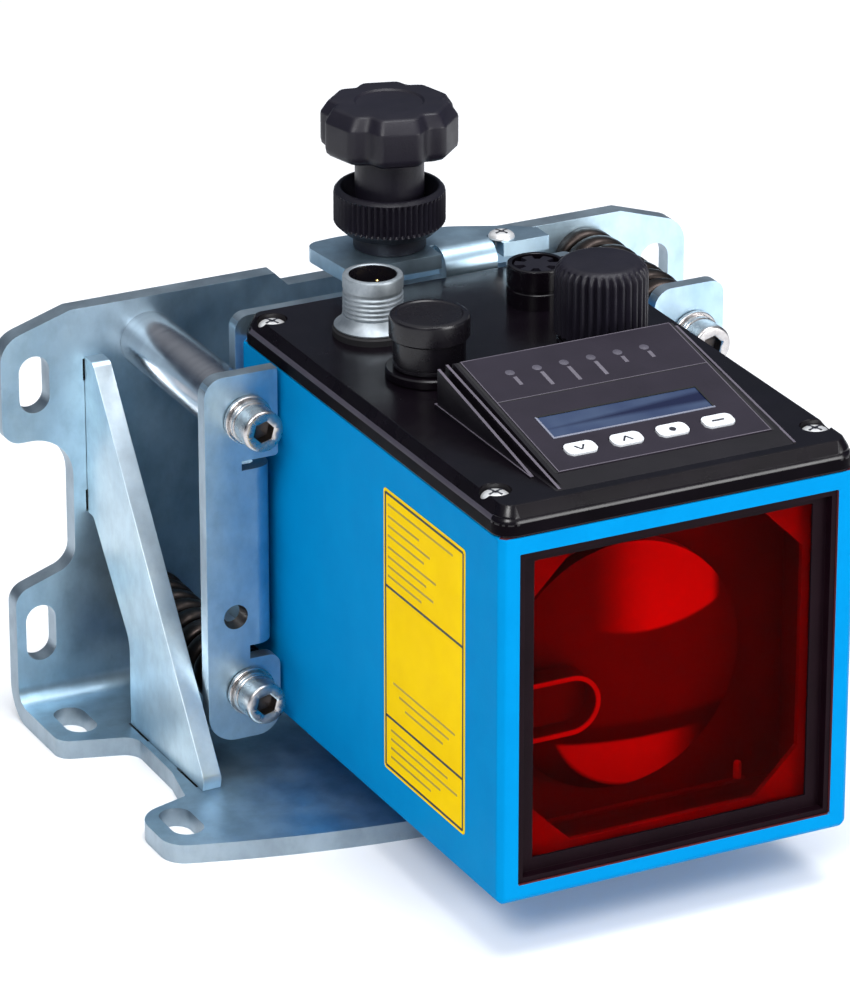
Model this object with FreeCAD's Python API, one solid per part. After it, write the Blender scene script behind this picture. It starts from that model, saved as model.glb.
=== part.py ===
import FreeCAD, Part
import math
import os

# A laser distance sensor held in an alignment bracket, in millimetres.
# The sensor hangs in a bent cradle. Three screws carry the cradle on a standing angle bracket:
# one is the fixed pivot, and the other two tilt the cradle up and down or turn it left and right.
# Origin: centre of the base plate's slot pattern, on its underside. +Z is up and the window looks
# along -Y. X = 0 is the middle plane of the sensor.

# Angle bracket
base_sheet = 4.0
base_bend_inner = 3.5
back_face_y = 38.5
foot_reach = 16.4
base_slot_inset = 7.1
base_slot_y = 26.0
slot_width = 6.6
slot_length = 12.2
waist_margin = 1.5
waist_lean = 0.3
waist_rear_y = 13.2
waist_front_y = -5.0
waist_round = 4.0
front_splay = 2.4
front_splay_run = 3.7
rear_foot_front_y = 17.8
rear_foot_round = 3.5
front_foot_rear_y = -19.7
front_foot_inset = 0.3
front_foot_rear_round = 7.0
front_foot_round = 5.5
front_chord_inset = 6.4
front_chord_y = -37.0
front_bow = 11.0
back_reach = 18.2
back_top_z = 88.2
back_slot_inset = 7.2
back_slot_low_z = 18.8
back_slot_high_z = 73.5
back_peak_inset = 15.4
back_shoulder_z = 83.4
back_shoulder_round = 6.0
back_recess_half = 14.4
back_recess_depth = 3.0
notch_margin = 3.0
notch_low_z = 30.6
notch_high_z = 61.4
notch_slope = 2.3
notch_low_round = 4.0
notch_inner_round = 5.0
notch_high_round = 9.0

# Gussets between base plate and back plate
gusset_sheet = 4.0
gusset_side_gap = 18.0
gusset_left_top = 77.7
gusset_right_top = 68.0
gusset_toe_y = -16.4
gusset_toe_height = 2.5
gusset_toe_lean = 0.6
gusset_heel_y = 19.0
gusset_heel_height = 18.5
gusset_heel_round = 7.0
gusset_eye_z = 43.5
gusset_eye_inset = 2.6
gusset_eye_round = 1.5
gusset_tip_width = 4.2
gusset_tip_round = 2.0
gusset_slot_play = 0.35
gusset_slot_run = 4.7
gusset_tab_play = 0.08
gusset_slot_margin = (0.3, 0.5)
base_tab = (-4.0, 10.0)
base_slot_run = 9.5
tab_inset = 0.2

# Three-point carriage: pivot at the upper left, adjusters at the lower left and upper right
pivot_reach = 8.0
pivot_z = 79.0
lower_z = 20.4
upper_reach = 16.0
screw_radius = 2.5
thread_play = 0.05
head_radius = 4.25
head_height = 5.0
hex_across = 4.0
hex_depth = 2.6
washer_radius = 5.0
washer_thick = 3.0
washer_bore_play = 0.1
adjuster_length = 55.0
pivot_screw_length = 22.0
joint_gap = 0.3
pillar_radius = 6.0
cup_run = 4.7
cup_depth = 2.5
seat_gap = 0.2
seat_bore_play = 0.8
spring_outer = 6.8
spring_wire_radial = 2.6
spring_wire_axial = 4.0
spring_pitch = 5.5
spring_steps = 8

# Cradle, bent from one sheet
cradle_sheet = 3.0
cradle_bend_inner = 1.0
ear_front_y = -8.5
web_gap = 0.3
cradle_side_gap = 2.0
wall_low_z = 30.0
wall_high_z = 68.0
web_margin = 1.0
web_low_inset = 3.0
web_low_rise = 2.0
web_step = 1.0
web_top_drop = 1.2
web_round = 3.0
left_ear_reach = 9.0
left_ear_gap = 1.2
left_ear_low_z = 10.0
left_ear_top_z = 88.4
left_ear_top_round = 4.0
left_ear_inner_round = 5.0
left_ear_low_round = 6.0
upper_relief_run = 3.1
upper_relief_height = 2.0
upper_relief_round = 0.8
lower_relief_run = 1.8
lower_relief_height = 2.9
lower_relief_round = 2.5
right_ear_gap = 2.1
right_ear_margin = 7.0
right_ear_top_z = 89.6
right_ear_inner_round = 4.0
right_ear_outer_round = 3.0
right_ear_low_round = 6.0
ear_hole_radius = 3.3
tapped_hole_reach = 10.8
tapped_hole_z = 36.8
tapped_hole_radius = 2.1
flange_gap = 1.3
flange_left_x = -15.6
flange_left_lean = 1.6
flange_right_x = 31.2
flange_front_y = 11.0
flange_right_run = (4.8, 1.6)
flange_right_cut = 4.0
flange_shoulder_x = 15.8
flange_shoulder_run = 3.8
flange_crown_x = -6.0
flange_crown_run = 9.0
flange_rear_left_run = 8.0
flange_bow_round = 20.0
flange_corner_round = 3.5
neck_left_x = 8.0
neck_right_x = 19.7
neck_relief = 1.2
neck_overlap = 5.0

# Quick clamp on the flange
clamp_y = 20.8
stud_radius = 3.0
stud_play = 0.05
face_gap = 0.1
collar_radius = 7.4
collar_height = 3.0
collar_bore_play = 0.3
nut_radius = 11.35
nut_height = 9.7
nut_bottom_chamfer = 2.2
nut_recess_radius = 9.9
nut_recess_depth = 4.4
nut_ribs = 30
nut_rib_depth = 0.6
grip_radius = 13.65
grip_waist = 12.1
grip_flat = 0.3
grip_chamfer = 2.4
grip_rise = 7.6
grip_height = 10.3
grip_lobes = 6
grip_turn = 253.0
grip_neck_radius = 7.0
grip_neck_sink = 2.2
grip_stud_depth = 6.0
foot_radius = 6.0
foot_height = 6.2
foot_blind = 1.5

# Lug that hooks the sensor into the window of the cradle
lug_half_width = 11.0
lug_low_z = 58.0
lug_height = 21.5
lug_hook = 4.5
lug_depth = 12.4
lug_edge = 1.0
lug_sheet_play = 0.3
window_play = 0.5
lift_height = 6.5

# Housing
body_half_width = 38.0
body_front_y = -101.0
body_rear_y = 11.0
body_low_z = 12.0
body_high_z = 87.2
body_wall = 2.8
body_edge = 1.2
front_wall = 4.0
window_margin_x = 4.2
window_margin_low = 3.8
window_margin_high = 3.5

# Window and optics
frame_play = 0.1
frame_wall = 1.1
frame_front_set = 0.5
glass_set = 3.0
glass_thick = 2.0
clear_margin_x = 4.2
clear_margin_low = 3.9
clear_margin_high = 2.9
frame_lip = 0.6
glass_seat = 1.0
glass_play = 0.2
mask_thick = 1.2
mask_corner = 9.0
mask_overlap = 0.5
roof_gap = 1.0
carrier_y = -79.0
carrier_thick = 3.0
lens_radius = 25.5
lens_centre_x = -2.0
lens_centre_z = 47.0
lens_thick = 5.0
lens_seat = 1.2
barrel_front_y = -89.5
barrel_radius = 6.1
barrel_wall = 1.1
barrel_depth = 5.0
barrel_tip_x = -10.6
barrel_z = 44.9
board_thick = 1.6
board_y = -20.0
board_margin = 1.0
board_roof_gap = 6.0

# Cover
cover_thick = 6.0
cover_bevel = 1.7
cover_wall = 3.0
cover_round = 4.0
seal_inset = 1.2
seal_width = 1.4
seal_thick = 0.3
cover_screw_side = 4.0
cover_screw_front = 9.8
cover_screw_rear = 6.4
cover_recess_radius = 3.0
cover_recess_depth = 2.0

# Control panel
panel_foot_x = (-24.5, 26.4)
panel_foot_y = (-97.2, -50.5)
panel_inset = 1.9
panel_front_rise = 0.4
panel_slope = 10.5
panel_rib = 1.1
panel_rib_height = 2.4
panel_rib_start = 8.0
pocket_height = 5.0
plate_x = (-21.2, 24.2)
plate_run = (3.6, 44.4)
plate_thick = 0.6
plate_sink = 0.4
lcd_x = (-16.6, 17.7)
lcd_run = (14.3, 21.9)
lcd_thick = 0.8
lcd_drop = 0.25
key_width = 6.4
key_run = 3.8
key_corner = 1.0
key_first_x = -13.5
key_pitch = 9.78
key_centre_run = 9.5
key_play = 0.15
key_rise = 0.35
key_travel = 0.35
key_body = 0.95
key_floor_gap = 0.15
key_count = 4

# Round connectors on the cover
plug_at = (-19.5, -11.0)
socket_at = (17.0, -10.5)
smooth_at = (-19.5, -35.5)
knurled_at = (17.2, -37.0)
thread_radius = 6.0
gasket_radius = 8.0
gasket_height = 1.6
plug_height = 10.9
plug_skirt_radius = 7.7
plug_skirt_height = 2.6
plug_bore_radius = 4.65
plug_floor = 2.6
pin_radius = 0.5
pin_circle = 2.6
pin_height = 6.0
plug_pins = 4
key_slot_width = 1.0
key_slot_depth = 0.5
key_slot_rise = 0.5
socket_height = 8.3
socket_wall = 1.1
socket_tabs = 6
socket_slot_width = 1.2
socket_slot_depth = 1.6
socket_slot_inner = 3.04
socket_insert_drop = 0.3
stub_ring_radius = 8.6
stub_ring_height = 2.0
stub_height = 10.2
cap_play = 0.05
cap_gap = 0.1
seal_disc_radius = 5.6
seal_disc_thick = 1.2
smooth_cap_height = 12.8
smooth_skirt_radius = 7.1
smooth_head_radius = 7.9
smooth_head_height = 4.5
knurled_cap_height = 17.8
knurled_radius = 9.2
knurled_ribs = 28
knurled_rib_depth = 0.8
knurled_shoulder = 1.8
knurled_top_radius = 7.4

# Tools that cut right through a piece stand out of it by this much
overcut = 1.0

# Values that follow from the sizes above
gusset_outer_x = body_half_width + gusset_side_gap + gusset_sheet
base_half_width = gusset_outer_x + foot_reach
base_slot_x = base_half_width - base_slot_inset
waist_x = gusset_outer_x + waist_margin
front_chord_half = base_half_width - front_chord_inset
back_half_width = gusset_outer_x + back_reach
back_slot_x = back_half_width - back_slot_inset
back_peak_x = back_half_width - back_peak_inset
notch_x = gusset_outer_x + notch_margin
pivot_x = -body_half_width - pivot_reach
upper_x = body_half_width + upper_reach
wall_inner_x = body_half_width + cradle_side_gap
web_front_y = body_rear_y + web_gap
web_half_width = body_half_width + web_margin
web_low_half_width = body_half_width - web_low_inset
web_low_z = body_low_z + web_low_rise
left_ear_inner_x = body_half_width + left_ear_gap
left_ear_outer_x = left_ear_reach - pivot_x
right_ear_outer_x = upper_x + right_ear_margin
base_bend_outer = base_bend_inner + base_sheet
back_rear_y = back_face_y + base_sheet
ear_back_y = ear_front_y + cradle_sheet
web_back_y = web_front_y + cradle_sheet
cradle_bend_outer = cradle_bend_inner + cradle_sheet
wall_outer_x = wall_inner_x + cradle_sheet
fold_x = wall_outer_x + cradle_bend_inner
upper_relief_end = fold_x + upper_relief_run
lower_relief_end = fold_x + lower_relief_run
right_ear_inner_x = wall_outer_x + right_ear_gap
pivot_y = ear_front_y + cradle_sheet / 2
cover_low_z = body_high_z
cover_top_z = cover_low_z + cover_thick
web_top_z = cover_top_z - web_top_drop
flange_under_z = cover_top_z + flange_gap
flange_top_z = flange_under_z + cradle_sheet
collar_low_z = flange_top_z + face_gap
nut_low_z = collar_low_z + collar_height + face_gap
grip_low_z = nut_low_z + nut_height + grip_rise
grip_neck_low_z = nut_low_z + nut_height - grip_neck_sink
head_back_y = ear_front_y - joint_gap - washer_thick
glass_front_y = body_front_y + glass_set
open_x = body_half_width - window_margin_x
open_low_z = body_low_z + window_margin_low
open_high_z = body_high_z - window_margin_high
clear_x = open_x - clear_margin_x
clear_low_z = open_low_z + clear_margin_low
clear_high_z = open_high_z - clear_margin_high
glass_x = clear_x + frame_wall + glass_seat
glass_low_z = clear_low_z - frame_wall - glass_seat
glass_high_z = clear_high_z + frame_wall + glass_seat
lug_top_z = lug_low_z + lug_height
foot_low_z = lug_top_z + joint_gap

os.makedirs("parts", exist_ok=True)


def at(x, y, z):
    return FreeCAD.Vector(x, y, z)


ORIGIN = at(0, 0, 0)
X, Y, Z = at(1, 0, 0), at(0, 1, 0), at(0, 0, 1)


# A box from its low and high value along each axis
def block(x, y, z):
    return Part.makeBox(x[1] - x[0], y[1] - y[0], z[1] - z[0], at(x[0], y[0], z[0]))


# A round bar of the given radius, starting at a point and running along an axis
def rod(radius, start, along, length):
    return Part.makeCylinder(radius, length, start, along)


# A flat pipe or washer
def ring(outer, inner, start, along, length):
    return rod(outer, start, along, length).cut(rod(inner, start, along, length))


# A closed outline through corners (u, v, radius), each rounded by its radius.
# place turns u and v into a point in space.
def outline(corners, place):
    ends = []
    for i, (u, v, radius) in enumerate(corners):
        before = corners[i - 1]
        after = corners[(i + 1) % len(corners)]
        here = at(u, v, 0)
        back = at(before[0], before[1], 0) - here
        on = at(after[0], after[1], 0) - here
        back.normalize()
        on.normalize()
        if radius == 0:
            ends.append((here, None, here))
            continue
        half = back.getAngle(on) / 2
        run = radius / math.tan(half)
        middle = back + on
        middle.normalize()
        crown = here + middle * (radius / math.sin(half) - radius)
        ends.append((here + back * run, crown, here + on * run))
    edges = []
    for i, (start, crown, end) in enumerate(ends):
        last = ends[i - 1][2]
        if (start - last).Length > 1e-6:
            edges.append(Part.LineSegment(place(last.x, last.y), place(start.x, start.y)).toShape())
        if crown is not None:
            points = [place(p.x, p.y) for p in (start, crown, end)]
            edges.append(Part.Arc(*points).toShape())
    return Part.Wire(edges)


# Outlines lie in one of three planes, at a given height along the third axis
def plate_xy(corners, z, thick):
    return Part.Face(outline(corners, lambda u, v: at(u, v, z))).extrude(Z * thick)


def plate_xz(corners, y, thick):
    return Part.Face(outline(corners, lambda u, v: at(u, y, v))).extrude(Y * thick)


def plate_yz(corners, x, thick):
    return Part.Face(outline(corners, lambda u, v: at(x, u, v))).extrude(X * thick)


# A turned piece: profile corners are (radius, height, corner radius) about an axis
def turned(profile, start, along):
    side = Y if along == X else X
    face = Part.Face(outline(profile, lambda r, h: start + side * r + along * h))
    return face.revolve(start, along, 360)


def rectangle(u, v, radius):
    return [(u[0], v[0], radius), (u[1], v[0], radius), (u[1], v[1], radius), (u[0], v[1], radius)]


# Left half of an outline, repeated in mirror image on the right
def both_sides(half):
    return half + [(-u, v, radius) for u, v, radius in reversed(half) if u != 0]


def mirrored(shape):
    return shape.mirror(ORIGIN, X)


# A slot with round ends, long along v, as rounded corners
def obround(u, v, width, length):
    half = width / 2
    end = length / 2
    return rectangle((u - half, u + half), (v - end, v + end), half - 0.001)


# Corners of a disc with pointed ribs all round
def ribbed(radius, depth, count):
    corners = []
    for i in range(2 * count):
        turn = math.pi * i / count
        reach = radius - depth * (i % 2)
        corners.append((reach * math.cos(turn), reach * math.sin(turn)))
    return corners


# A solid between two flat outlines with the same number of corners
def tapered(low, high):
    faces = [Part.Face(Part.makePolygon(low + low[:1])), Part.Face(Part.makePolygon(high + high[:1]))]
    for i in range(len(low)):
        j = (i + 1) % len(low)
        faces.append(Part.Face(Part.makePolygon([low[i], low[j], high[j], high[i], low[i]])))
    solid = Part.Solid(Part.makeShell(faces))
    if solid.Volume < 0:
        solid.reverse()
    return solid


# An outline of points (u, v), scaled about the middle of a turned piece
def scaled_about(points, centre, scale, z):
    return [at(centre[0] + u * scale, centre[1] + v * scale, z) for u, v in points]


# A six-sided socket for a key, cut from the front end of a screw head
def hex_socket(x, y, z, across, depth):
    reach = across / 2 / math.cos(math.pi / 6)
    turns = [math.radians(60 * i + 30) for i in range(7)]
    corners = [at(x + reach * math.cos(t), y, z + reach * math.sin(t)) for t in turns]
    corners[-1] = corners[0]
    return Part.Face(Part.makePolygon(corners)).extrude(Y * depth)


def joined(first, *rest):
    return first.fuse(list(rest)).removeSplitter()


def cut_away(shape, *tools):
    return shape.cut(list(tools))


def write(name, *shapes):
    shape = shapes[0] if len(shapes) == 1 else Part.makeCompound(list(shapes))
    shape.exportStep("parts/" + name + ".step")
    print(name, len(shape.Solids), round(shape.Volume), shape.isValid())


# Where a gusset stands across the bracket, with the given play on each side
def gusset_span(side, play):
    middle = side * (gusset_outer_x - gusset_sheet / 2)
    half = gusset_sheet / 2 + play
    return (middle - half, middle + half)


# Angle bracket: base plate, bend and back plate in one
def make_base_bracket():
    bow_radius = (front_chord_half ** 2 + front_bow ** 2) / (2 * front_bow)
    slope = front_chord_half / (bow_radius - front_bow)
    foot_x = base_half_width - front_foot_inset
    base_half = [
        (-base_half_width, back_face_y - base_bend_inner, 0),
        (-base_half_width, rear_foot_front_y, rear_foot_round),
        (-waist_x, waist_rear_y, waist_round),
        (-waist_x - waist_lean, waist_front_y, 0),
        (-waist_x - front_splay, front_foot_rear_y + front_splay_run, 0),
        (-foot_x, front_foot_rear_y, front_foot_rear_round),
        (-foot_x, front_chord_y + (foot_x - front_chord_half) * slope, front_foot_round),
        (0, front_chord_y - front_chord_half * slope, bow_radius),
    ]
    base = plate_xy(both_sides(base_half), 0, base_sheet)
    back_half = [
        (-base_half_width, base_bend_outer, 0),
        (-base_half_width, notch_low_z - notch_slope, notch_low_round),
        (-notch_x, notch_low_z + notch_slope, notch_inner_round),
        (-notch_x, notch_high_z, notch_high_round),
        (-back_half_width, notch_high_z, notch_low_round),
        (-back_half_width, back_shoulder_z, back_shoulder_round),
        (-back_peak_x, back_top_z, 0),
        (-back_recess_half - back_recess_depth, back_top_z, 0),
        (-back_recess_half, back_top_z - back_recess_depth, 0),
    ]
    back = plate_xz(both_sides(back_half), back_face_y, base_sheet)
    centre = at(-base_half_width, back_face_y - base_bend_inner, base_bend_outer)
    bend = ring(base_bend_outer, base_bend_inner, centre, X, 2 * base_half_width)
    corner = block(
        (-base_half_width, base_half_width),
        (centre.y, centre.y + base_bend_outer),
        (centre.z - base_bend_outer, centre.z),
    )
    bracket = joined(base, bend.common(corner), back)
    holes = []
    start = back_face_y - overcut
    through = base_sheet + 2 * overcut
    for side in (-1, 1):
        for y in (-base_slot_y, base_slot_y):
            corners = obround(side * base_slot_x, y, slot_width, slot_length)
            holes.append(plate_xy(corners, -overcut, through))
        for z in (back_slot_low_z, back_slot_high_z):
            corners = obround(side * back_slot_x, z, slot_width, slot_length)
            holes.append(plate_xz(corners, start, through))
        top = gusset_left_top if side < 0 else gusset_right_top
        wide = gusset_span(side, gusset_slot_play)
        snug = gusset_span(side, gusset_tab_play)
        snug_run = (base_tab[0] - gusset_tab_play, base_tab[1] + gusset_tab_play)
        holes.append(plate_xy(rectangle(snug, snug_run, 0), -overcut, through))
        for run in ((base_tab[0] - base_slot_run, base_tab[0]), (base_tab[1], base_tab[1] + base_slot_run)):
            holes.append(plate_xy(rectangle(wide, run, 0), -overcut, through))
        low, high = gusset_eye_z + gusset_slot_margin[0], top - gusset_slot_margin[1]
        holes.append(plate_xz(rectangle(snug, (low, high), 0), start, through))
        for run in ((low, low + gusset_slot_run), (high - gusset_slot_run, high)):
            holes.append(plate_xz(rectangle(wide, run, 0), start, through))
    for x, z in ((pivot_x, lower_z), (upper_x, pivot_z)):
        holes.append(rod(screw_radius + thread_play, at(x, start, z), Y, through))
    return cut_away(bracket, *holes)


# Gusset: a sloping web with an open heel and a tab for each slot
def make_gusset(top, outer_x, side):
    corners = [
        (back_face_y, gusset_eye_z, 0),
        (back_face_y, top, 0),
        (back_face_y - gusset_tip_width, top, gusset_tip_round),
        (gusset_toe_y, base_sheet + gusset_toe_height, gusset_tip_round),
        (gusset_toe_y + gusset_toe_lean, base_sheet, 0),
        (gusset_heel_y, base_sheet, 0),
        (gusset_heel_y, base_sheet + gusset_heel_height, gusset_heel_round),
        (back_face_y - gusset_eye_inset, gusset_eye_z, gusset_eye_round),
    ]
    x = (outer_x - gusset_sheet, outer_x)
    web = plate_yz(corners, x[0], gusset_sheet)
    low = block(x, base_tab, (tab_inset, base_sheet))
    margin_low, margin_high = gusset_slot_margin
    rise = (gusset_eye_z + gusset_slot_run + margin_low, top - gusset_slot_run - margin_high)
    rear = block(x, (back_face_y, back_rear_y - tab_inset), rise)
    gusset = joined(web, low, rear)
    return gusset if side > 0 else mirrored(gusset)


# Pillar: carries the pivot, with a conical seat at its front end. Distances run back from the pivot.
def make_pillar():
    bore = screw_radius + thread_play
    rear = back_face_y - pivot_y
    return turned(
        [
            (bore, cup_run + cup_depth, 0),
            (pillar_radius, cup_run, 0),
            (pillar_radius, rear, 0),
            (0, rear, 0),
            (0, pivot_screw_length, 0),
            (bore, pivot_screw_length, 0),
        ],
        at(pivot_x, pivot_y, pivot_z),
        Y,
    )


# Centring washer between pillar and ear: flat at the front, conical at the back
def make_pivot_seat():
    bore = screw_radius + seat_bore_play
    front = ear_back_y + joint_gap - pivot_y
    slope = cup_depth / (pillar_radius - screw_radius - thread_play)
    shift = seat_gap * math.hypot(1, slope)
    return turned(
        [
            (bore, front, 0),
            (pillar_radius, front, 0),
            (pillar_radius, cup_run - shift, 0),
            (bore, cup_run - shift + (pillar_radius - bore) * slope, 0),
        ],
        at(pivot_x, pivot_y, pivot_z),
        Y,
    )


# Socket head screw along +Y, with the rear face of its head at y
def cap_screw(x, y, z, length):
    head = turned(
        [
            (0, -head_height, 0),
            (head_radius, -head_height, 0),
            (head_radius, 0, 0),
            (screw_radius, 0, 0),
            (screw_radius, length, 0),
            (0, length, 0),
        ],
        at(x, y, z),
        Y,
    )
    return head.cut(hex_socket(x, y - head_height - overcut, z, hex_across, hex_depth + overcut))


# Washer between a screw and the ear
def washer(x, z):
    return ring(washer_radius, screw_radius + washer_bore_play, at(x, head_back_y, z), Y, washer_thick)


# Compression spring of rectangular wire, ground flat at both ends
def make_spring(x, z):
    start = ear_back_y + joint_gap
    length = back_face_y - start
    turns = length / spring_pitch + 2
    radii = (spring_outer - spring_wire_radial, spring_outer)
    half = spring_wire_axial / 2
    rings = []
    for i in range(int(turns * spring_steps) + 1):
        turn = 2 * math.pi * i / spring_steps
        rise = start - spring_pitch + spring_pitch * i / spring_steps
        rings.append(
            [
                at(x + r * math.cos(turn), rise + h, z + r * math.sin(turn))
                for r, h in ((radii[0], -half), (radii[1], -half), (radii[1], half), (radii[0], half))
            ]
        )
    faces = []
    for near, far in zip(rings, rings[1:]):
        for i in range(4):
            j = (i + 1) % 4
            faces.append(Part.Face(Part.makePolygon([near[i], near[j], far[j], near[i]])))
            faces.append(Part.Face(Part.makePolygon([near[i], far[j], far[i], near[i]])))
    for end in (rings[0], rings[-1]):
        faces.append(Part.Face(Part.makePolygon(end + end[:1])))
    coil = Part.Solid(Part.makeShell(faces))
    if coil.Volume < 0:
        coil.reverse()
    reach = spring_outer + overcut
    room = block((x - reach, x + reach), (start, start + length), (z - reach, z + reach))
    return coil.common(room)


# Cradle: web behind the sensor, side walls, two ears and the clamp flange, bent from one sheet
def make_cradle():
    step_z = wall_low_z - web_step
    web_half = [
        (-web_low_half_width, web_low_z, 0),
        (-web_low_half_width, step_z, 0),
        (-web_half_width, step_z, 0),
        (-web_half_width, web_top_z, web_round),
    ]
    web = plate_xz(both_sides(web_half), web_front_y, cradle_sheet)
    pieces = []
    rise = (wall_low_z, wall_high_z)
    height = wall_high_z - wall_low_z
    for side in (-1, 1):
        rear = at(side * (wall_inner_x - cradle_bend_inner), web_front_y - cradle_bend_inner, wall_low_z)
        fold = ring(cradle_bend_outer, cradle_bend_inner, rear, Z, height)
        x = sorted((rear.x, rear.x + side * cradle_bend_outer))
        pieces.append(fold.common(block(x, (rear.y, rear.y + cradle_bend_outer), rise)))
        x = sorted((side * wall_inner_x, side * wall_outer_x))
        front = at(side * (wall_outer_x + cradle_bend_inner), ear_back_y + cradle_bend_inner, wall_low_z)
        pieces.append(block(x, (front.y, rear.y), rise))
        fold = ring(cradle_bend_outer, cradle_bend_inner, front, Z, height)
        x = sorted((front.x, front.x - side * cradle_bend_outer))
        pieces.append(fold.common(block(x, (front.y - cradle_bend_outer, front.y), rise)))
    left = [
        (-left_ear_outer_x, left_ear_top_z, left_ear_top_round),
        (-left_ear_inner_x, left_ear_top_z, 0),
        (-left_ear_inner_x, wall_high_z + upper_relief_height, upper_relief_round),
        (-upper_relief_end, wall_high_z + upper_relief_height, 0),
        (-upper_relief_end, wall_high_z, 0),
        (-fold_x, wall_high_z, 0),
        (-fold_x, wall_low_z, 0),
        (-lower_relief_end, wall_low_z, 0),
        (-lower_relief_end, wall_low_z - lower_relief_height, 0),
        (-left_ear_inner_x, wall_low_z - lower_relief_height, lower_relief_round),
        (-left_ear_inner_x, left_ear_low_z, left_ear_inner_round),
        (-left_ear_outer_x, left_ear_low_z, left_ear_low_round),
    ]
    right = [
        (right_ear_inner_x, right_ear_top_z, right_ear_inner_round),
        (right_ear_outer_x, right_ear_top_z, right_ear_outer_round),
        (right_ear_outer_x, wall_low_z, right_ear_low_round),
        (fold_x, wall_low_z, 0),
        (fold_x, wall_high_z, 0),
        (right_ear_inner_x, wall_high_z, 0),
    ]
    pieces.append(plate_xz(left, ear_front_y, cradle_sheet))
    pieces.append(plate_xz(right, ear_front_y, cradle_sheet))
    neck = (neck_left_x, neck_right_x)
    fold = at(neck_left_x, web_back_y + cradle_bend_inner, flange_under_z - cradle_bend_inner)
    pieces.append(block(neck, (web_front_y, web_back_y), (web_top_z - neck_overlap, fold.z)))
    bend = ring(cradle_bend_outer, cradle_bend_inner, fold, X, neck_right_x - neck_left_x)
    quarter = block(neck, (fold.y - cradle_bend_outer, fold.y), (fold.z, fold.z + cradle_bend_outer))
    pieces.append(bend.common(quarter))
    slit_y = fold.y + neck_relief
    flange = [
        (flange_left_x + flange_left_lean, flange_front_y, 0),
        (neck_left_x - neck_relief, flange_front_y, 0),
        (neck_left_x - neck_relief, slit_y, 0),
        (neck_left_x, slit_y, 0),
        (neck_left_x, fold.y, 0),
        (neck_right_x, fold.y, 0),
        (neck_right_x, slit_y, 0),
        (neck_right_x + neck_relief, slit_y, 0),
        (neck_right_x + neck_relief, flange_front_y, 0),
        (flange_right_x, flange_front_y, 0),
        (flange_right_x, clamp_y - flange_right_run[0], 0),
        (flange_right_x - flange_right_cut, clamp_y - flange_right_run[1], 0),
        (flange_shoulder_x, clamp_y + flange_shoulder_run, flange_bow_round),
        (flange_crown_x, clamp_y + flange_crown_run, flange_bow_round),
        (flange_left_x, clamp_y + flange_rear_left_run, flange_corner_round),
    ]
    pieces.append(plate_xy(flange, flange_under_z, cradle_sheet))
    cradle = joined(web, *pieces)
    start = ear_front_y - overcut
    through = cradle_sheet + 2 * overcut
    holes = [
        rod(ear_hole_radius, at(x, start, z), Y, through)
        for x, z in ((pivot_x, pivot_z), (pivot_x, lower_z), (upper_x, pivot_z))
    ]
    tapped_x = -body_half_width - tapped_hole_reach
    holes.append(rod(tapped_hole_radius, at(tapped_x, start, tapped_hole_z), Y, through))
    holes.append(rod(stud_radius + stud_play, at(0, clamp_y, flange_under_z - overcut), Z, through))
    half = lug_half_width + window_play
    opening = rectangle((-half, half), (lug_low_z, lug_top_z + lift_height), 0)
    holes.append(plate_xz(opening, web_front_y - overcut, through))
    return cut_away(cradle, *holes)


# Lug on the sensor's back: its hook hangs behind the lower edge of the cradle's window
def make_lug():
    x = (-lug_half_width, lug_half_width)
    hook_y = web_back_y + lug_sheet_play
    shank = block(x, (body_rear_y, hook_y), (lug_low_z, lug_top_z))
    head = block(x, (hook_y, hook_y + lug_depth), (lug_low_z - lug_hook, lug_top_z))
    lug = joined(shank, head)
    edges = [e for e in lug.Edges if e.BoundBox.YMin > hook_y + lug_depth - lug_edge]
    return lug.makeChamfer(lug_edge, edges)


# Quick clamp, from the pressure foot up to the star grip
def make_clamp_foot():
    foot = rod(foot_radius, at(0, clamp_y, foot_low_z), Z, foot_height)
    return foot.cut(rod(stud_radius + stud_play, at(0, clamp_y, foot_low_z + foot_blind), Z, foot_height))


def make_clamp_stud():
    low = foot_low_z + foot_blind + joint_gap
    return rod(stud_radius, at(0, clamp_y, low), Z, grip_low_z + grip_stud_depth - low)


def make_collar():
    bore = stud_radius + collar_bore_play
    return ring(collar_radius, bore, at(0, clamp_y, collar_low_z), Z, collar_height)


# Ring for unlocking: ribbed, tapered below, with a well on top for the grip's neck
def make_lock_nut():
    centre = (0, clamp_y)
    ribs = ribbed(nut_radius, nut_rib_depth, nut_ribs)
    low_scale = (nut_radius - nut_bottom_chamfer) / nut_radius
    shoulder_z = nut_low_z + nut_bottom_chamfer
    outline_at = scaled_about(ribs, centre, 1, shoulder_z)
    foot = tapered(scaled_about(ribs, centre, low_scale, nut_low_z), outline_at)
    rise = nut_height - nut_bottom_chamfer
    body = foot.fuse(Part.Face(Part.makePolygon(outline_at + outline_at[:1])).extrude(Z * rise))
    start = at(0, clamp_y, nut_low_z)
    bore = rod(stud_radius + stud_play, start - Z * overcut, Z, nut_height + 2 * overcut)
    recess = rod(nut_recess_radius, start + Z * (nut_height - nut_recess_depth), Z, nut_height)
    return cut_away(body, bore, recess)


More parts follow.
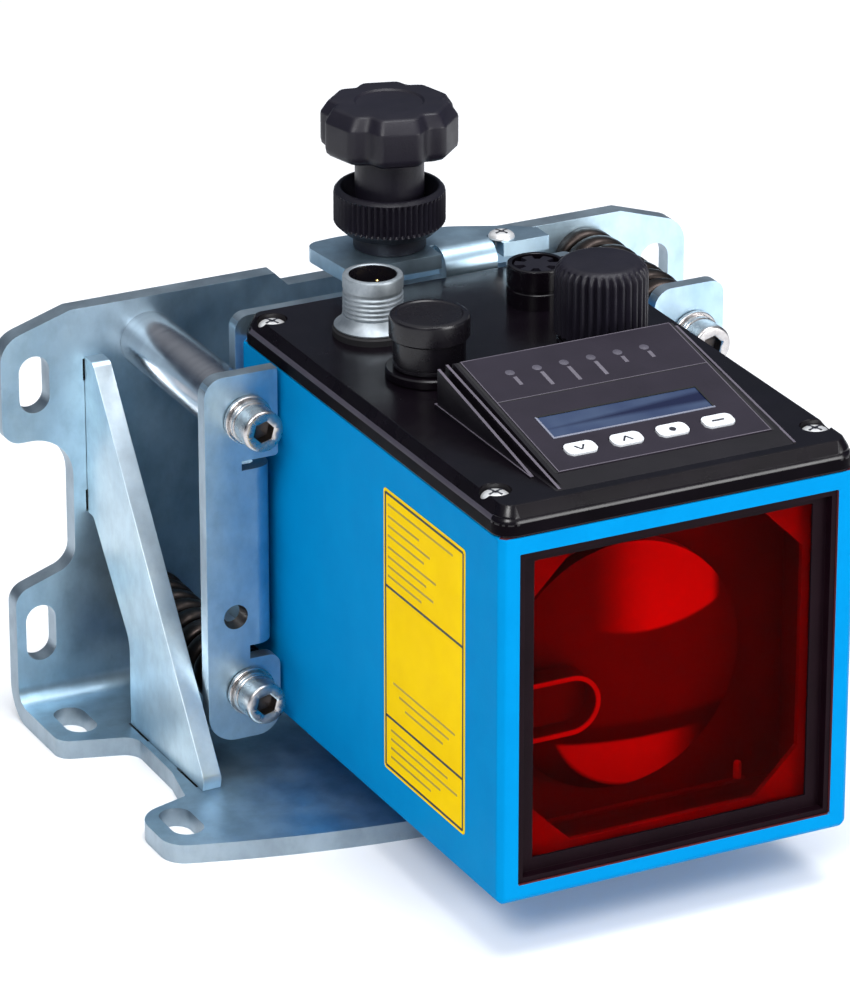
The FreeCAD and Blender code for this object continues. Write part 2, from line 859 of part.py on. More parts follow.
# Grip: six broad lobes with a bevelled top, on a neck over the stud
def make_star_grip():
    centre = (0, clamp_y)
    points = []
    for i in range(grip_lobes):
        for step in (-grip_flat, grip_flat):
            turn = math.radians(grip_turn + 360.0 * (i + step) / grip_lobes)
            points.append((grip_radius * math.cos(turn), grip_radius * math.sin(turn)))
        turn = math.radians(grip_turn + 360.0 * (i + 0.5) / grip_lobes)
        points.append((grip_waist * math.cos(turn), grip_waist * math.sin(turn)))
    bevel_z = grip_low_z + grip_height - grip_chamfer
    low = scaled_about(points, centre, 1, grip_low_z)
    rim = scaled_about(points, centre, 1, bevel_z)
    lobes = Part.Face(Part.makePolygon(low + low[:1])).extrude(Z * (grip_height - grip_chamfer))
    top = scaled_about(points, centre, 1 - grip_chamfer / grip_radius / 2, grip_low_z + grip_height)
    neck = rod(grip_neck_radius, at(0, clamp_y, grip_neck_low_z), Z, grip_low_z - grip_neck_low_z)
    grip = joined(lobes, tapered(rim, top), neck)
    depth = grip_low_z + grip_stud_depth - grip_neck_low_z
    return grip.cut(rod(stud_radius, at(0, clamp_y, grip_neck_low_z - overcut), Z, depth + overcut))


# Housing: a cast box, open towards the window and under the cover
def make_housing():
    outer = block((-body_half_width, body_half_width), (body_front_y, body_rear_y), (body_low_z, body_high_z))
    kept = [e for e in outer.Edges if e.BoundBox.ZMin < body_high_z - body_edge]
    outer = outer.makeChamfer(body_edge, kept)
    inner_x = body_half_width - body_wall
    inner_y = (body_front_y + front_wall, body_rear_y - body_wall)
    hollow = block((-inner_x, inner_x), inner_y, (body_low_z + body_wall, body_high_z + overcut))
    depth = (body_front_y - overcut, body_front_y + front_wall + overcut)
    opening = block((-open_x, open_x), depth, (open_low_z, open_high_z))
    return cut_away(outer, hollow, opening)


def cover_screw_places():
    reach = body_half_width - cover_screw_side
    rows = (body_front_y + cover_screw_front, body_rear_y - cover_screw_rear)
    return [(x, y) for x in (-reach, reach) for y in rows]


# Window: a frame let into the opening, the red glass behind its lip, and a mask with cut corners
def make_window_frame():
    x = open_x - frame_play
    z = (open_low_z + frame_play, open_high_z - frame_play)
    depth = (body_front_y + frame_front_set, body_front_y + front_wall)
    outer = block((-x, x), depth, z)
    lip_y = glass_front_y - frame_lip
    mouth = block(
        (-x + frame_wall, x - frame_wall),
        (depth[0] - overcut, lip_y),
        (z[0] + frame_wall, z[1] - frame_wall),
    )
    sight = block((-clear_x, clear_x), (depth[0] - overcut, depth[1] + overcut), (clear_low_z, clear_high_z))
    pocket = block((-glass_x, glass_x), (glass_front_y, depth[1] + overcut), (glass_low_z, glass_high_z))
    return cut_away(outer, mouth, sight, pocket)


def make_glass():
    x = glass_x - glass_play
    z = (glass_low_z + glass_play, glass_high_z - glass_play)
    return block((-x, x), (glass_front_y, glass_front_y + glass_thick), z)


def make_mask():
    x = body_half_width - body_wall - glass_play
    z = (body_low_z + body_wall + glass_play, body_high_z - roof_gap)
    y = max(glass_front_y + glass_thick, body_front_y + front_wall)
    plate = block((-x, x), (y, y + mask_thick), z)
    cut = mask_corner
    low, high = clear_low_z + mask_overlap, clear_high_z - mask_overlap
    side = clear_x - mask_overlap
    corners = [
        (-side, low + cut, 0),
        (-side, high - cut, 0),
        (-side + cut, high, 0),
        (side - cut, high, 0),
        (side, high - cut, 0),
        (side, low + cut, 0),
        (side - cut, low, 0),
        (-side + cut, low, 0),
    ]
    return plate.cut(plate_xz(corners, y - overcut, mask_thick + 2 * overcut))


# Receiver lens in its carrier, with the sender's barrel across the front of it
def make_carrier():
    x = body_half_width - body_wall - glass_play
    z = (body_low_z + body_wall + glass_play, body_high_z - roof_gap)
    plate = block((-x, x), (carrier_y, carrier_y + carrier_thick), z)
    seat = rod(lens_radius, at(lens_centre_x, carrier_y - overcut, lens_centre_z), Y, lens_seat + overcut)
    return plate.cut(seat)


def make_lens():
    front = carrier_y + lens_seat - lens_thick
    return rod(lens_radius, at(lens_centre_x, front, lens_centre_z), Y, lens_thick)


def make_barrel():
    wall_x = -(body_half_width - body_wall)
    end = barrel_tip_x - barrel_radius
    outer = rectangle((wall_x, barrel_tip_x), (barrel_z - barrel_radius, barrel_z + barrel_radius), 0)
    outer = [(u, v, barrel_radius - 0.001 if u > end else 0) for u, v, r in outer]
    r = barrel_radius - barrel_wall
    inner = rectangle((wall_x - overcut, barrel_tip_x - barrel_wall), (barrel_z - r, barrel_z + r), 0)
    inner = [(u, v, r - 0.001 if u > end else 0) for u, v, radius in inner]
    cup = plate_xz(outer, barrel_front_y, barrel_depth)
    return cup.cut(plate_xz(inner, barrel_front_y - overcut, barrel_depth + overcut - barrel_wall))


def make_board():
    x = body_half_width - body_wall - board_margin
    foot = body_low_z + body_wall
    return block((-x, x), (board_y, board_y + board_thick), (foot, body_high_z - board_roof_gap))


# Cover with bevelled upper edges, hollow underneath, and a recess for each screw
def make_cover():
    x = (-body_half_width, body_half_width)
    y = (body_front_y, body_rear_y)
    low_z = cover_low_z + seal_thick
    lid = plate_xy(rectangle(x, y, cover_round), low_z, cover_top_z - low_z)
    top = [e for e in lid.Edges if e.BoundBox.ZMin > cover_top_z - cover_bevel]
    lid = lid.makeChamfer(cover_bevel, top)
    wall = body_wall
    hollow = block(
        (x[0] + wall, x[1] - wall),
        (y[0] + wall, y[1] - wall),
        (cover_low_z, cover_top_z - cover_wall),
    )
    floor_z = cover_top_z - cover_recess_depth
    holes = [rod(cover_recess_radius, at(px, py, floor_z), Z, cover_thick) for px, py in cover_screw_places()]
    return cut_away(lid.cut(hollow), *holes)


def make_cover_seal():
    x = body_half_width - seal_inset
    y = (body_front_y + seal_inset, body_rear_y - seal_inset)
    outer = block((-x, x), y, (cover_low_z, cover_low_z + seal_thick))
    w = seal_width
    inner = block((-x + w, x - w), (y[0] + w, y[1] - w), (cover_low_z - overcut, cover_low_z + overcut))
    return outer.cut(inner)


# Control panel: positions on it are x and the run up the slope from the panel's front edge
def panel_z(y):
    run = y - panel_foot_y[0] - panel_inset
    return cover_top_z + panel_front_rise + run * math.tan(math.radians(panel_slope))


def on_panel(shape):
    placed = shape.copy()
    placed.rotate(ORIGIN, X, panel_slope)
    placed.translate(at(0, panel_foot_y[0] + panel_inset, cover_top_z + panel_front_rise))
    return placed


def make_panel_body():
    low = [
        at(panel_foot_x[0], panel_foot_y[0], cover_top_z),
        at(panel_foot_x[1], panel_foot_y[0], cover_top_z),
        at(panel_foot_x[1], panel_foot_y[1], cover_top_z),
        at(panel_foot_x[0], panel_foot_y[1], cover_top_z),
    ]
    left, right = panel_foot_x[0] + panel_inset, panel_foot_x[1] - panel_inset
    front, rear = panel_foot_y[0] + panel_inset, panel_foot_y[1] - panel_inset / 2
    high = [
        at(left, front, panel_z(front)),
        at(right, front, panel_z(front)),
        at(right, rear, panel_z(rear)),
        at(left, rear, panel_z(rear)),
    ]
    faces = [Part.Face(Part.makePolygon(low + low[:1])), Part.Face(Part.makePolygon(high + high[:1]))]
    for i in range(len(low)):
        j = (i + 1) % len(low)
        faces.append(Part.Face(Part.makePolygon([low[i], low[j], high[j], low[i]])))
        faces.append(Part.Face(Part.makePolygon([low[i], high[j], high[i], low[i]])))
    wedge = Part.Solid(Part.makeShell(faces))
    ribs = []
    for x in (panel_foot_x[0], panel_foot_x[1] - panel_rib):
        corners = [
            (panel_foot_y[0] + panel_rib_start, cover_top_z, 0),
            (panel_foot_y[1], cover_top_z, 0),
            (panel_foot_y[1], cover_top_z + panel_rib_height, 0),
        ]
        ribs.append(plate_yz(corners, x, panel_rib))
    body = joined(wedge, *ribs)
    first, last = key_places()[0], key_places()[-1]
    trough_x = (first - key_width / 2 - key_play, last + key_width / 2 + key_play)
    trough_run = (key_centre_run - key_run / 2 - key_play, key_centre_run + key_run / 2 + key_play)
    pockets = [
        on_panel(plate_xy(rectangle(plate_x, plate_run, 0), -plate_sink, pocket_height)),
        on_panel(plate_xy(rectangle(trough_x, trough_run, 0), -plate_sink - key_body, pocket_height)),
        on_panel(plate_xy(rectangle(lcd_x, lcd_run, 0), -plate_sink - lcd_drop, pocket_height)),
    ]
    return cut_away(body, *pockets)


def key_places():
    return [key_first_x + i * key_pitch for i in range(key_count)]


def key_outline(x, play):
    u = (x - key_width / 2 - play, x + key_width / 2 + play)
    v = (key_centre_run - key_run / 2 - play, key_centre_run + key_run / 2 + play)
    cut = key_corner
    return [
        (u[0] + cut, v[0], 0),
        (u[1] - cut, v[0], 0),
        (u[1], v[0] + cut, 0),
        (u[1], v[1] - cut, 0),
        (u[1] - cut, v[1], 0),
        (u[0] + cut, v[1], 0),
        (u[0], v[1] - cut, 0),
        (u[0], v[0] + cut, 0),
    ]


def make_panel_plate():
    low = -plate_sink
    plate = plate_xy(rectangle(plate_x, plate_run, 0), low, plate_thick)
    through = plate_thick + 2 * overcut
    holes = [plate_xy(key_outline(x, key_play), low - overcut, through) for x in key_places()]
    holes.append(plate_xy(rectangle(lcd_x, lcd_run, 0), low - overcut, through))
    return on_panel(cut_away(plate, *holes))


def make_display():
    low = -plate_sink - lcd_drop
    glass = plate_xy(rectangle(lcd_x, lcd_run, 0), low, lcd_thick)
    return on_panel(glass)


def make_key(x):
    high = plate_thick - plate_sink + key_rise
    low = -plate_sink - key_body + key_travel + key_floor_gap
    return on_panel(plate_xy(key_outline(x, 0), low, high - low))


# Male connector: flared metal shell on a gasket, with its insert and pins
def make_plug_gasket():
    return rod(gasket_radius, at(plug_at[0], plug_at[1], cover_top_z), Z, gasket_height)


def make_plug_shell():
    start = at(plug_at[0], plug_at[1], cover_top_z + gasket_height)
    shell = turned(
        [
            (plug_bore_radius, 0, 0),
            (plug_skirt_radius, 0, 0),
            (thread_radius, plug_skirt_height, 0),
            (thread_radius, plug_height, 0),
            (plug_bore_radius, plug_height, 0),
        ],
        start,
        Z,
    )
    key = block(
        (plug_at[0] + plug_bore_radius - overcut, plug_at[0] + plug_bore_radius + key_slot_depth),
        (plug_at[1] - key_slot_width / 2, plug_at[1] + key_slot_width / 2),
        (start.z + plug_floor + key_slot_rise, start.z + plug_height + overcut),
    )
    return shell.cut(key)


def make_plug_insert():
    start = at(plug_at[0], plug_at[1], cover_top_z + gasket_height)
    return rod(plug_bore_radius, start, Z, plug_floor)


def make_plug_pins():
    low = cover_top_z + gasket_height + plug_floor
    pins = []
    for i in range(plug_pins):
        turn = 2 * math.pi * (i + 0.5) / plug_pins
        x = plug_at[0] + pin_circle * math.cos(turn)
        y = plug_at[1] + pin_circle * math.sin(turn)
        corners = [
            at(x + pin_radius * math.cos(math.pi * k / 4), y + pin_radius * math.sin(math.pi * k / 4), low)
            for k in range(8)
        ]
        pins.append(Part.Face(Part.makePolygon(corners + corners[:1])).extrude(Z * pin_height))
    return pins


# Female connector: black shell with a slotted insert
def make_socket_shell():
    start = at(socket_at[0], socket_at[1], cover_top_z)
    inner = thread_radius - socket_wall
    return ring(thread_radius, inner, start, Z, socket_height)


def make_socket_insert():
    radius = thread_radius - socket_wall
    start = at(socket_at[0], socket_at[1], cover_top_z)
    top = start.z + socket_height - socket_insert_drop
    insert = rod(radius, start, Z, top - start.z)
    half = socket_slot_width / 2
    tools = []
    for i in range(socket_tabs):
        bar = block(
            (start.x + socket_slot_inner, start.x + radius + overcut),
            (start.y - half, start.y + half),
            (top - socket_slot_depth, top + overcut),
        )
        bar.rotate(start, Z, 360.0 * i / socket_tabs)
        tools.append(bar)
    return cut_away(insert, *tools)


# Blanked connector under a protective cap: a base ring and a threaded collar
def make_stub(place):
    start = at(place[0], place[1], cover_top_z)
    return turned(
        [
            (0, 0, 0),
            (stub_ring_radius, 0, 0),
            (stub_ring_radius, stub_ring_height, 0),
            (thread_radius, stub_ring_height, 0),
            (thread_radius, stub_height, 0),
            (0, stub_height, 0),
        ],
        start,
        Z,
    )


def make_cap_seal(place):
    start = at(place[0], place[1], cover_top_z + stub_height + cap_gap)
    return rod(seal_disc_radius, start, Z, seal_disc_thick)


def make_smooth_cap():
    start = at(smooth_at[0], smooth_at[1], cover_top_z)
    step = smooth_cap_height - smooth_head_height
    roof = stub_height + 2 * cap_gap + seal_disc_thick
    bore = thread_radius + cap_play
    low = stub_ring_height + cap_gap
    return turned(
        [
            (bore, low, 0),
            (smooth_skirt_radius, low, 0),
            (smooth_skirt_radius, step, 0),
            (smooth_head_radius, step, 0),
            (smooth_head_radius, smooth_cap_height, 0),
            (0, smooth_cap_height, 0),
            (0, roof, 0),
            (bore, roof, 0),
        ],
        start,
        Z,
    )


def make_knurled_cap():
    start = at(knurled_at[0], knurled_at[1], cover_top_z)
    low_z = start.z + stub_ring_height + cap_gap
    shoulder_z = start.z + knurled_cap_height - knurled_shoulder
    roof = stub_height + 2 * cap_gap + seal_disc_thick
    ribs = ribbed(knurled_radius, knurled_rib_depth, knurled_ribs)
    foot = scaled_about(ribs, knurled_at, 1, low_z)
    rim = scaled_about(ribs, knurled_at, 1, shoulder_z)
    top = scaled_about(ribs, knurled_at, knurled_top_radius / knurled_radius, start.z + knurled_cap_height)
    cap = Part.Face(Part.makePolygon(foot + foot[:1])).extrude(Z * (shoulder_z - low_z))
    cap = cap.fuse(tapered(rim, top))
    return cap.cut(rod(thread_radius + cap_play, start, Z, roof))


def main():
    write("base_bracket", make_base_bracket())
    write("gusset_left", make_gusset(gusset_left_top, gusset_outer_x, -1))
    write("gusset_right", make_gusset(gusset_right_top, gusset_outer_x, 1))
    write("pivot_pillar", make_pillar())
    write("pivot_seat", make_pivot_seat())
    write("pivot_screw", cap_screw(pivot_x, head_back_y, pivot_z, pivot_screw_length))
    write("pivot_washer", washer(pivot_x, pivot_z))
    write("lower_adjusting_screw", cap_screw(pivot_x, head_back_y, lower_z, adjuster_length))
    write("lower_adjuster_washer", washer(pivot_x, lower_z))
    write("upper_adjusting_screw", cap_screw(upper_x, head_back_y, pivot_z, adjuster_length))
    write("upper_adjuster_washer", washer(upper_x, pivot_z))
    write("lower_spring", make_spring(pivot_x, lower_z))
    write("upper_spring", make_spring(upper_x, pivot_z))
    write("cradle", make_cradle())
    write("hanging_lug", make_lug())
    write("clamp_foot", make_clamp_foot())
    write("clamp_stud", make_clamp_stud())
    write("star_grip", make_star_grip())
    write("lock_collar", make_collar())
    write("lock_nut", make_lock_nut())
    write("housing", make_housing())
    write("window_frame", make_window_frame())
    write("red_window", make_glass())
    write("aperture_mask", make_mask())
    write("lens_carrier", make_carrier())
    write("receiver_lens", make_lens())
    write("sender_barrel", make_barrel())
    write("circuit_board", make_board())
    write("cover", make_cover())
    write("cover_seal", make_cover_seal())
    write("control_panel", make_panel_body())
    write("panel_plate", make_panel_plate())
    write("display_glass", make_display())
    for i, name in enumerate(("key_down", "key_up", "key_set", "key_escape")):
        write(name, make_key(key_places()[i]))
    write("plug_gasket", make_plug_gasket())
    write("plug_shell", make_plug_shell())
    write("plug_insert", make_plug_insert())
    write("plug_pins", *make_plug_pins())
    write("socket_shell", make_socket_shell())
    write("socket_insert", make_socket_insert())
    write("smooth_cap_stub", make_stub(smooth_at))
    write("smooth_cap_seal", make_cap_seal(smooth_at))
    write("smooth_cap", make_smooth_cap())
    write("knurled_cap_stub", make_stub(knurled_at))
    write("knurled_cap_seal", make_cap_seal(knurled_at))
    write("knurled_cap", make_knurled_cap())


main()
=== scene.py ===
import bpy
import bmesh
import math
from mathutils import Matrix, Vector


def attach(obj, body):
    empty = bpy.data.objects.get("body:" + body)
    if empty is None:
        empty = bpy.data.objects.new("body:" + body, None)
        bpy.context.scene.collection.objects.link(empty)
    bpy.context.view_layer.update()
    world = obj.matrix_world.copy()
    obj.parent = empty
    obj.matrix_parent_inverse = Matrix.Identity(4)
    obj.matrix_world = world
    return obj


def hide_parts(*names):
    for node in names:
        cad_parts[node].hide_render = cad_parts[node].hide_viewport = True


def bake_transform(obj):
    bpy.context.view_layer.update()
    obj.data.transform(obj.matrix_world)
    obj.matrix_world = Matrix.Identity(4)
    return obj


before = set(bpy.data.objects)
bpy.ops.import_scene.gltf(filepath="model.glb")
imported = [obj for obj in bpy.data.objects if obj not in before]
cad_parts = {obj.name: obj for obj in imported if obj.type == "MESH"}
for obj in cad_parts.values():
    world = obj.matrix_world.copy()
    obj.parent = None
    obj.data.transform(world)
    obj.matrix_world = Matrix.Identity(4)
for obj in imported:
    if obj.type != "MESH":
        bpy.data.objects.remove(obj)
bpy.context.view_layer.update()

scene = bpy.context.scene
mm = 0.001
finishes = {}
print("frame loaded:", len(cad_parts), "nodes")


# Node helpers: small wrappers so that each finish reads as a recipe
def startFinish(name, colour, roughness, metallic=0.0):
    finish = bpy.data.materials.new(name)
    finish.use_nodes = True
    shader = finish.node_tree.nodes["Principled BSDF"]
    shader.inputs["Base Color"].default_value = (*colour, 1.0)
    shader.inputs["Roughness"].default_value = roughness
    shader.inputs["Metallic"].default_value = metallic
    finish.diffuse_color = (*colour, 1.0)
    finishes[name] = finish
    return finish.node_tree, shader


def addNode(tree, kind, **settings):
    node = tree.nodes.new(kind)
    for key, value in settings.items():
        if key in node.inputs:
            node.inputs[key].default_value = value
        else:
            setattr(node, key, value)
    return node


# Gives an input another node's output, or a plain value
def feed(tree, value, entry):
    if hasattr(value, "links"):
        tree.links.new(value, entry)
    else:
        entry.default_value = value


def computed(tree, operation, *values):
    node = addNode(tree, "ShaderNodeMath", operation=operation)
    for value, entry in zip(values, node.inputs):
        feed(tree, value, entry)
    return node.outputs[0]


def ranged(tree, value, low, high, start=0.0, end=1.0, kind="LINEAR"):
    node = addNode(tree, "ShaderNodeMapRange", interpolation_type=kind)
    for name, limit in (("From Min", low), ("From Max", high), ("To Min", start), ("To Max", end)):
        node.inputs[name].default_value = limit
    tree.links.new(value, node.inputs["Value"])
    return node.outputs["Result"]


def spanned(tree, value, start, end):
    return ranged(tree, value, 0.0, 1.0, start, end)


def coordinates(tree):
    where = addNode(tree, "ShaderNodeTexCoord")
    split = addNode(tree, "ShaderNodeSeparateXYZ")
    tree.links.new(where.outputs["Object"], split.inputs["Vector"])
    return list(split.outputs)


def cloud(tree, scale, detail=3.0, stretch=(1, 1, 1), low=0.3, high=0.7):
    where = addNode(tree, "ShaderNodeTexCoord")
    scaled = addNode(tree, "ShaderNodeMapping", Scale=stretch)
    tree.links.new(where.outputs["Object"], scaled.inputs["Vector"])
    noise = addNode(tree, "ShaderNodeTexNoise", Scale=scale, Detail=detail, Roughness=0.6)
    tree.links.new(scaled.outputs["Vector"], noise.inputs["Vector"])
    return ranged(tree, noise.outputs["Fac"], low, high)


def blendColours(tree, amount, first, second):
    mix = addNode(tree, "ShaderNodeMix", data_type="RGBA")
    tree.links.new(amount, mix.inputs[0])
    for colour, entry in ((first, mix.inputs[6]), (second, mix.inputs[7])):
        feed(tree, colour if hasattr(colour, "links") else (*colour, 1.0), entry)
    return mix.outputs[2]


# Colour, roughness and a fine grain whose depth is in millimetres
def dress(tree, shader, tone, rough, grain, strength, depth):
    tree.links.new(tone, shader.inputs["Base Color"])
    tree.links.new(rough, shader.inputs["Roughness"])
    bump = addNode(tree, "ShaderNodeBump", Strength=strength, Distance=depth * mm)
    tree.links.new(grain, bump.inputs["Height"])
    tree.links.new(bump.outputs["Normal"], shader.inputs["Normal"])


# Zinc plating: broad clouds, darker spots and a paler bloom.
# A cloud is its scale, detail, stretch and the two ends of its range.
zincSettings = {
    "clouds": (34.0, 6.0, (1, 1, 0.6), 0.34, 0.66), "wear": (75.0, 6.0, (1, 1, 0.6)),
    "spots": (240.0, 4.0, (1, 1, 0.7), 0.40, 0.74), "bloom": (110.0, 5.0, (1, 1, 0.8), 0.50, 0.78),
    "most": 0.40, "darker": 0.62, "paler": 1.25, "grain": (420.0, 2.0), "bump": (0.10, 0.03),
}
metalSettings = {"lines": (900.0, 3.0), "most": 0.5, "wear": (220.0, 4.0), "grain": (700.0, 2.0),
                 "strength": 0.10}
plasticSettings = {"tone": (90.0, 4.0), "wear": (160.0, 5.0), "detail": 2.0, "strength": 0.25}


def zincFinish(name, light, dark, roughLow, roughHigh, stretch):
    k = zincSettings
    tree, shader = startFinish(name, light, roughLow, 1.0)
    tone = blendColours(tree, cloud(tree, *k["clouds"]), light, dark)
    for layer, colour, factor in (("spots", dark, k["darker"]), ("bloom", light, k["paler"])):
        amount = spanned(tree, cloud(tree, *k[layer]), 0.0, k["most"])
        tone = blendColours(tree, amount, tone, [min(1.0, factor * part) for part in colour])
    rough = spanned(tree, cloud(tree, *k["wear"]), roughLow, roughHigh)
    dress(tree, shader, tone, rough, cloud(tree, *k["grain"], stretch, 0.0, 1.0), *k["bump"])


def metalFinish(name, colour, dark, roughLow, roughHigh, stretch, depth=0.03, metallic=1.0):
    k = metalSettings
    tree, shader = startFinish(name, colour, roughLow, metallic)
    lines = spanned(tree, cloud(tree, *k["lines"], stretch), 0.0, k["most"])
    rough = spanned(tree, cloud(tree, *k["wear"]), roughLow, roughHigh)
    grain = cloud(tree, *k["grain"], stretch, 0.0, 1.0)
    dress(tree, shader, blendColours(tree, lines, colour, dark), rough, grain, k["strength"], depth)


def plasticFinish(name, colour, second, roughLow, roughHigh, grainScale, depth, gloss):
    k = plasticSettings
    tree, shader = startFinish(name, colour, roughLow)
    tone = blendColours(tree, cloud(tree, *k["tone"]), colour, second)
    rough = spanned(tree, cloud(tree, *k["wear"]), roughLow, roughHigh)
    dress(tree, shader, tone, rough, cloud(tree, grainScale, k["detail"]), k["strength"], depth)
    shader.inputs["Specular IOR Level"].default_value = gloss


# Light and dark tone, low and high roughness, stretch of the grain
zincs = {
    "zincSheet": ((0.52, 0.68, 0.78), (0.35, 0.51, 0.64), 0.34, 0.48, (1, 1, 0.5)),
    # A lighter copy of the sheet's zinc for the gussets' faces: painted light
    "zincGusset": ((0.66, 0.80, 0.86), (0.47, 0.61, 0.70), 0.34, 0.48, (1, 1, 0.5)),
    # Paler still, for the gussets' sloped front edges: a painted highlight
    "zincBright": ((0.74, 0.84, 0.90), (0.58, 0.70, 0.78), 0.34, 0.48, (1, 1, 0.5)),
    "zincCutEdge": ((0.37, 0.45, 0.51), (0.26, 0.33, 0.39), 0.38, 0.54, (1, 1, 0.2)),
}
# The same, then the grain's depth and how metallic it is where they differ
metals = {
    "turnedSteel": ((0.60, 0.60, 0.62), (0.46, 0.45, 0.48), 0.16, 0.26, (0.02, 1, 0.02), 0.01),
    "screwSteel": ((0.55, 0.53, 0.52), (0.30, 0.28, 0.28), 0.20, 0.36, (1, 1, 1)),
    # Dark metal: painted shade inside the hex sockets and the threaded hole
    "screwSocket": ((0.14, 0.12, 0.11), (0.05, 0.045, 0.045), 0.30, 0.45, (1, 1, 1)),
    "blackenedWire": ((0.050, 0.040, 0.036), (0.014, 0.012, 0.013), 0.30, 0.50, (1, 0.4, 1)),
    "screwBright": ((0.86, 0.86, 0.85), (0.62, 0.62, 0.63), 0.30, 0.42, (1, 1, 1), 0.01, 0.6),
    "milledAluminium": ((0.62, 0.65, 0.70), (0.50, 0.54, 0.60), 0.30, 0.42, (1, 0.2, 0.2), 0.01),
    "plugNickel": ((0.42, 0.46, 0.49), (0.24, 0.28, 0.31), 0.48, 0.62, (1, 1, 0.6)),
    "contactGold": ((0.86, 0.62, 0.24), (0.62, 0.42, 0.14), 0.18, 0.30, (1, 1, 1)),
}
# First and second tone, low and high roughness, scale and depth of the grain, gloss
plastics = {
    "gripBlack": ((0.0055, 0.0045, 0.0085), (0.0095, 0.008, 0.014), 0.36, 0.50, 2600, 0.05, 0.3),
    "capBlack": ((0.0035, 0.0028, 0.0042), (0.006, 0.005, 0.0075), 0.22, 0.34, 2800, 0.02, 0.35),
    "coverBlack": ((0.002, 0.0012, 0.0022), (0.004, 0.0025, 0.0045), 0.18, 0.28, 3200, 0.01, 0.3),
    "coverSlope": ((0.002, 0.0012, 0.0022), (0.004, 0.0025, 0.0045), 0.24, 0.34, 3200, 0.01, 0.09),
    "coverSkirt": ((0.0016, 0.001, 0.0018), (0.0032, 0.002, 0.0036), 0.35, 0.45, 3200, 0.01, 0.02),
    # A lighter copy of the lid's black for the rounded line along the lid's sides: a painted highlight
    "coverEdgeLine": ((0.052, 0.047, 0.062), (0.040, 0.036, 0.048), 0.30, 0.40, 3200, 0.01, 0.2),
    "panelGrey": ((0.0035, 0.0025, 0.004), (0.0065, 0.005, 0.0075), 0.32, 0.44, 2800, 0.04, 0.3),
    "plateGrey": ((0.015, 0.012, 0.019), (0.020, 0.016, 0.025), 0.38, 0.48, 3000, 0.03, 0.2),
    # Lighter grey: painted highlights on the ridges' tops, the lines round the plate and the ledge behind
    # the glass
    "ridgeGrey": ((0.115, 0.100, 0.125), (0.080, 0.070, 0.090), 0.32, 0.42, 3000, 0.02, 0.4),
    "bluePaint": ((0.0003, 0.218, 0.500), (0.0002, 0.198, 0.470), 0.40, 0.50, 1900, 0.03, 0.01),
    "windowBlack": ((0.0045, 0.001, 0.0025), (0.007, 0.0018, 0.004), 0.45, 0.60, 2200, 0.04, 0.06),
    "opticBlack": ((0.070, 0.012, 0.014), (0.095, 0.017, 0.020), 0.55, 0.70, 1800, 0.05, 0.2),
    "maskGrey": ((0.22, 0.20, 0.20), (0.17, 0.155, 0.155), 0.50, 0.65, 1800, 0.04, 0.3),
    # Light grey: the painted highlight on the sender barrel's rim, and the peg
    "barrelRimGrey": ((0.42, 0.40, 0.40), (0.34, 0.32, 0.32), 0.35, 0.45, 1800, 0.02, 0.5),
    "sealRubber": ((0.008, 0.008, 0.009), (0.014, 0.013, 0.015), 0.60, 0.75, 2400, 0.05, 0.3),
    "keyWhite": ((0.66, 0.68, 0.71), (0.58, 0.60, 0.63), 0.38, 0.50, 2600, 0.03, 0.4),
    "printBlack": ((0.014, 0.015, 0.022), (0.024, 0.025, 0.034), 0.45, 0.55, 2600, 0.01, 0.3),
    "markGrey": ((0.13, 0.12, 0.145), (0.095, 0.085, 0.105), 0.45, 0.55, 2600, 0.01, 0.3),
    # Light grey: the painted highlight on the display surround's lower and left sides
    "edgeGrey": ((0.22, 0.23, 0.29), (0.16, 0.17, 0.22), 0.35, 0.45, 2600, 0.01, 0.4),
    "printFaded": ((0.40, 0.27, 0.015), (0.30, 0.20, 0.012), 0.45, 0.55, 2600, 0.01, 0.3),
    "boardGreen": ((0.012, 0.085, 0.035), (0.010, 0.070, 0.030), 0.40, 0.50, 1500, 0.05, 0.5),
    "lampGrey": ((0.085, 0.078, 0.100), (0.060, 0.055, 0.072), 0.35, 0.45, 2600, 0.02, 0.3),
}
for makeFinish, table in ((zincFinish, zincs), (metalFinish, metals), (plasticFinish, plastics)):
    for name, row in table.items():
        makeFinish(name, *row)


# The label: yellow film, a little uneven in tone
def labelFinish():
    tree, shader = startFinish("labelYellow", (0.86, 0.57, 0.002), 0.40)
    shade = blendColours(tree, cloud(tree, 70.0), (0.86, 0.58, 0.002), (0.80, 0.52, 0.0015))
    tree.links.new(shade, shader.inputs["Base Color"])
    tree.links.new(spanned(tree, cloud(tree, 200.0), 0.32, 0.46), shader.inputs["Roughness"])
    shader.inputs["Specular IOR Level"].default_value = 0.01


# The display: a blue-grey pane with a dark streak along it that widens to the right.
# The streak's middle and half width are straight lines over x, as a slope and a start in metres.
streakSettings = {"middle": (0.03, -0.0776), "width": (0.055, -0.0001), "fade": (0.0002, 0.0014)}


def displayFinish():
    k = streakSettings
    tree, shader = startFinish("displayBlue", (0.03, 0.05, 0.10), 0.22)
    x, y, z = coordinates(tree)
    middle, width = [computed(tree, "MULTIPLY_ADD", x, *k[line]) for line in ("middle", "width")]
    away = computed(tree, "ABSOLUTE", computed(tree, "SUBTRACT", y, middle))
    clear = ranged(tree, computed(tree, "SUBTRACT", away, width), *k["fade"])
    pane = blendColours(tree, cloud(tree, 120.0, 2.0), (0.036, 0.056, 0.108), (0.020, 0.034, 0.082))
    tone = blendColours(tree, clear, (0.0015, 0.005, 0.030), pane)
    tree.links.new(tone, shader.inputs["Base Color"])
    shader.inputs["Specular IOR Level"].default_value = 0.3


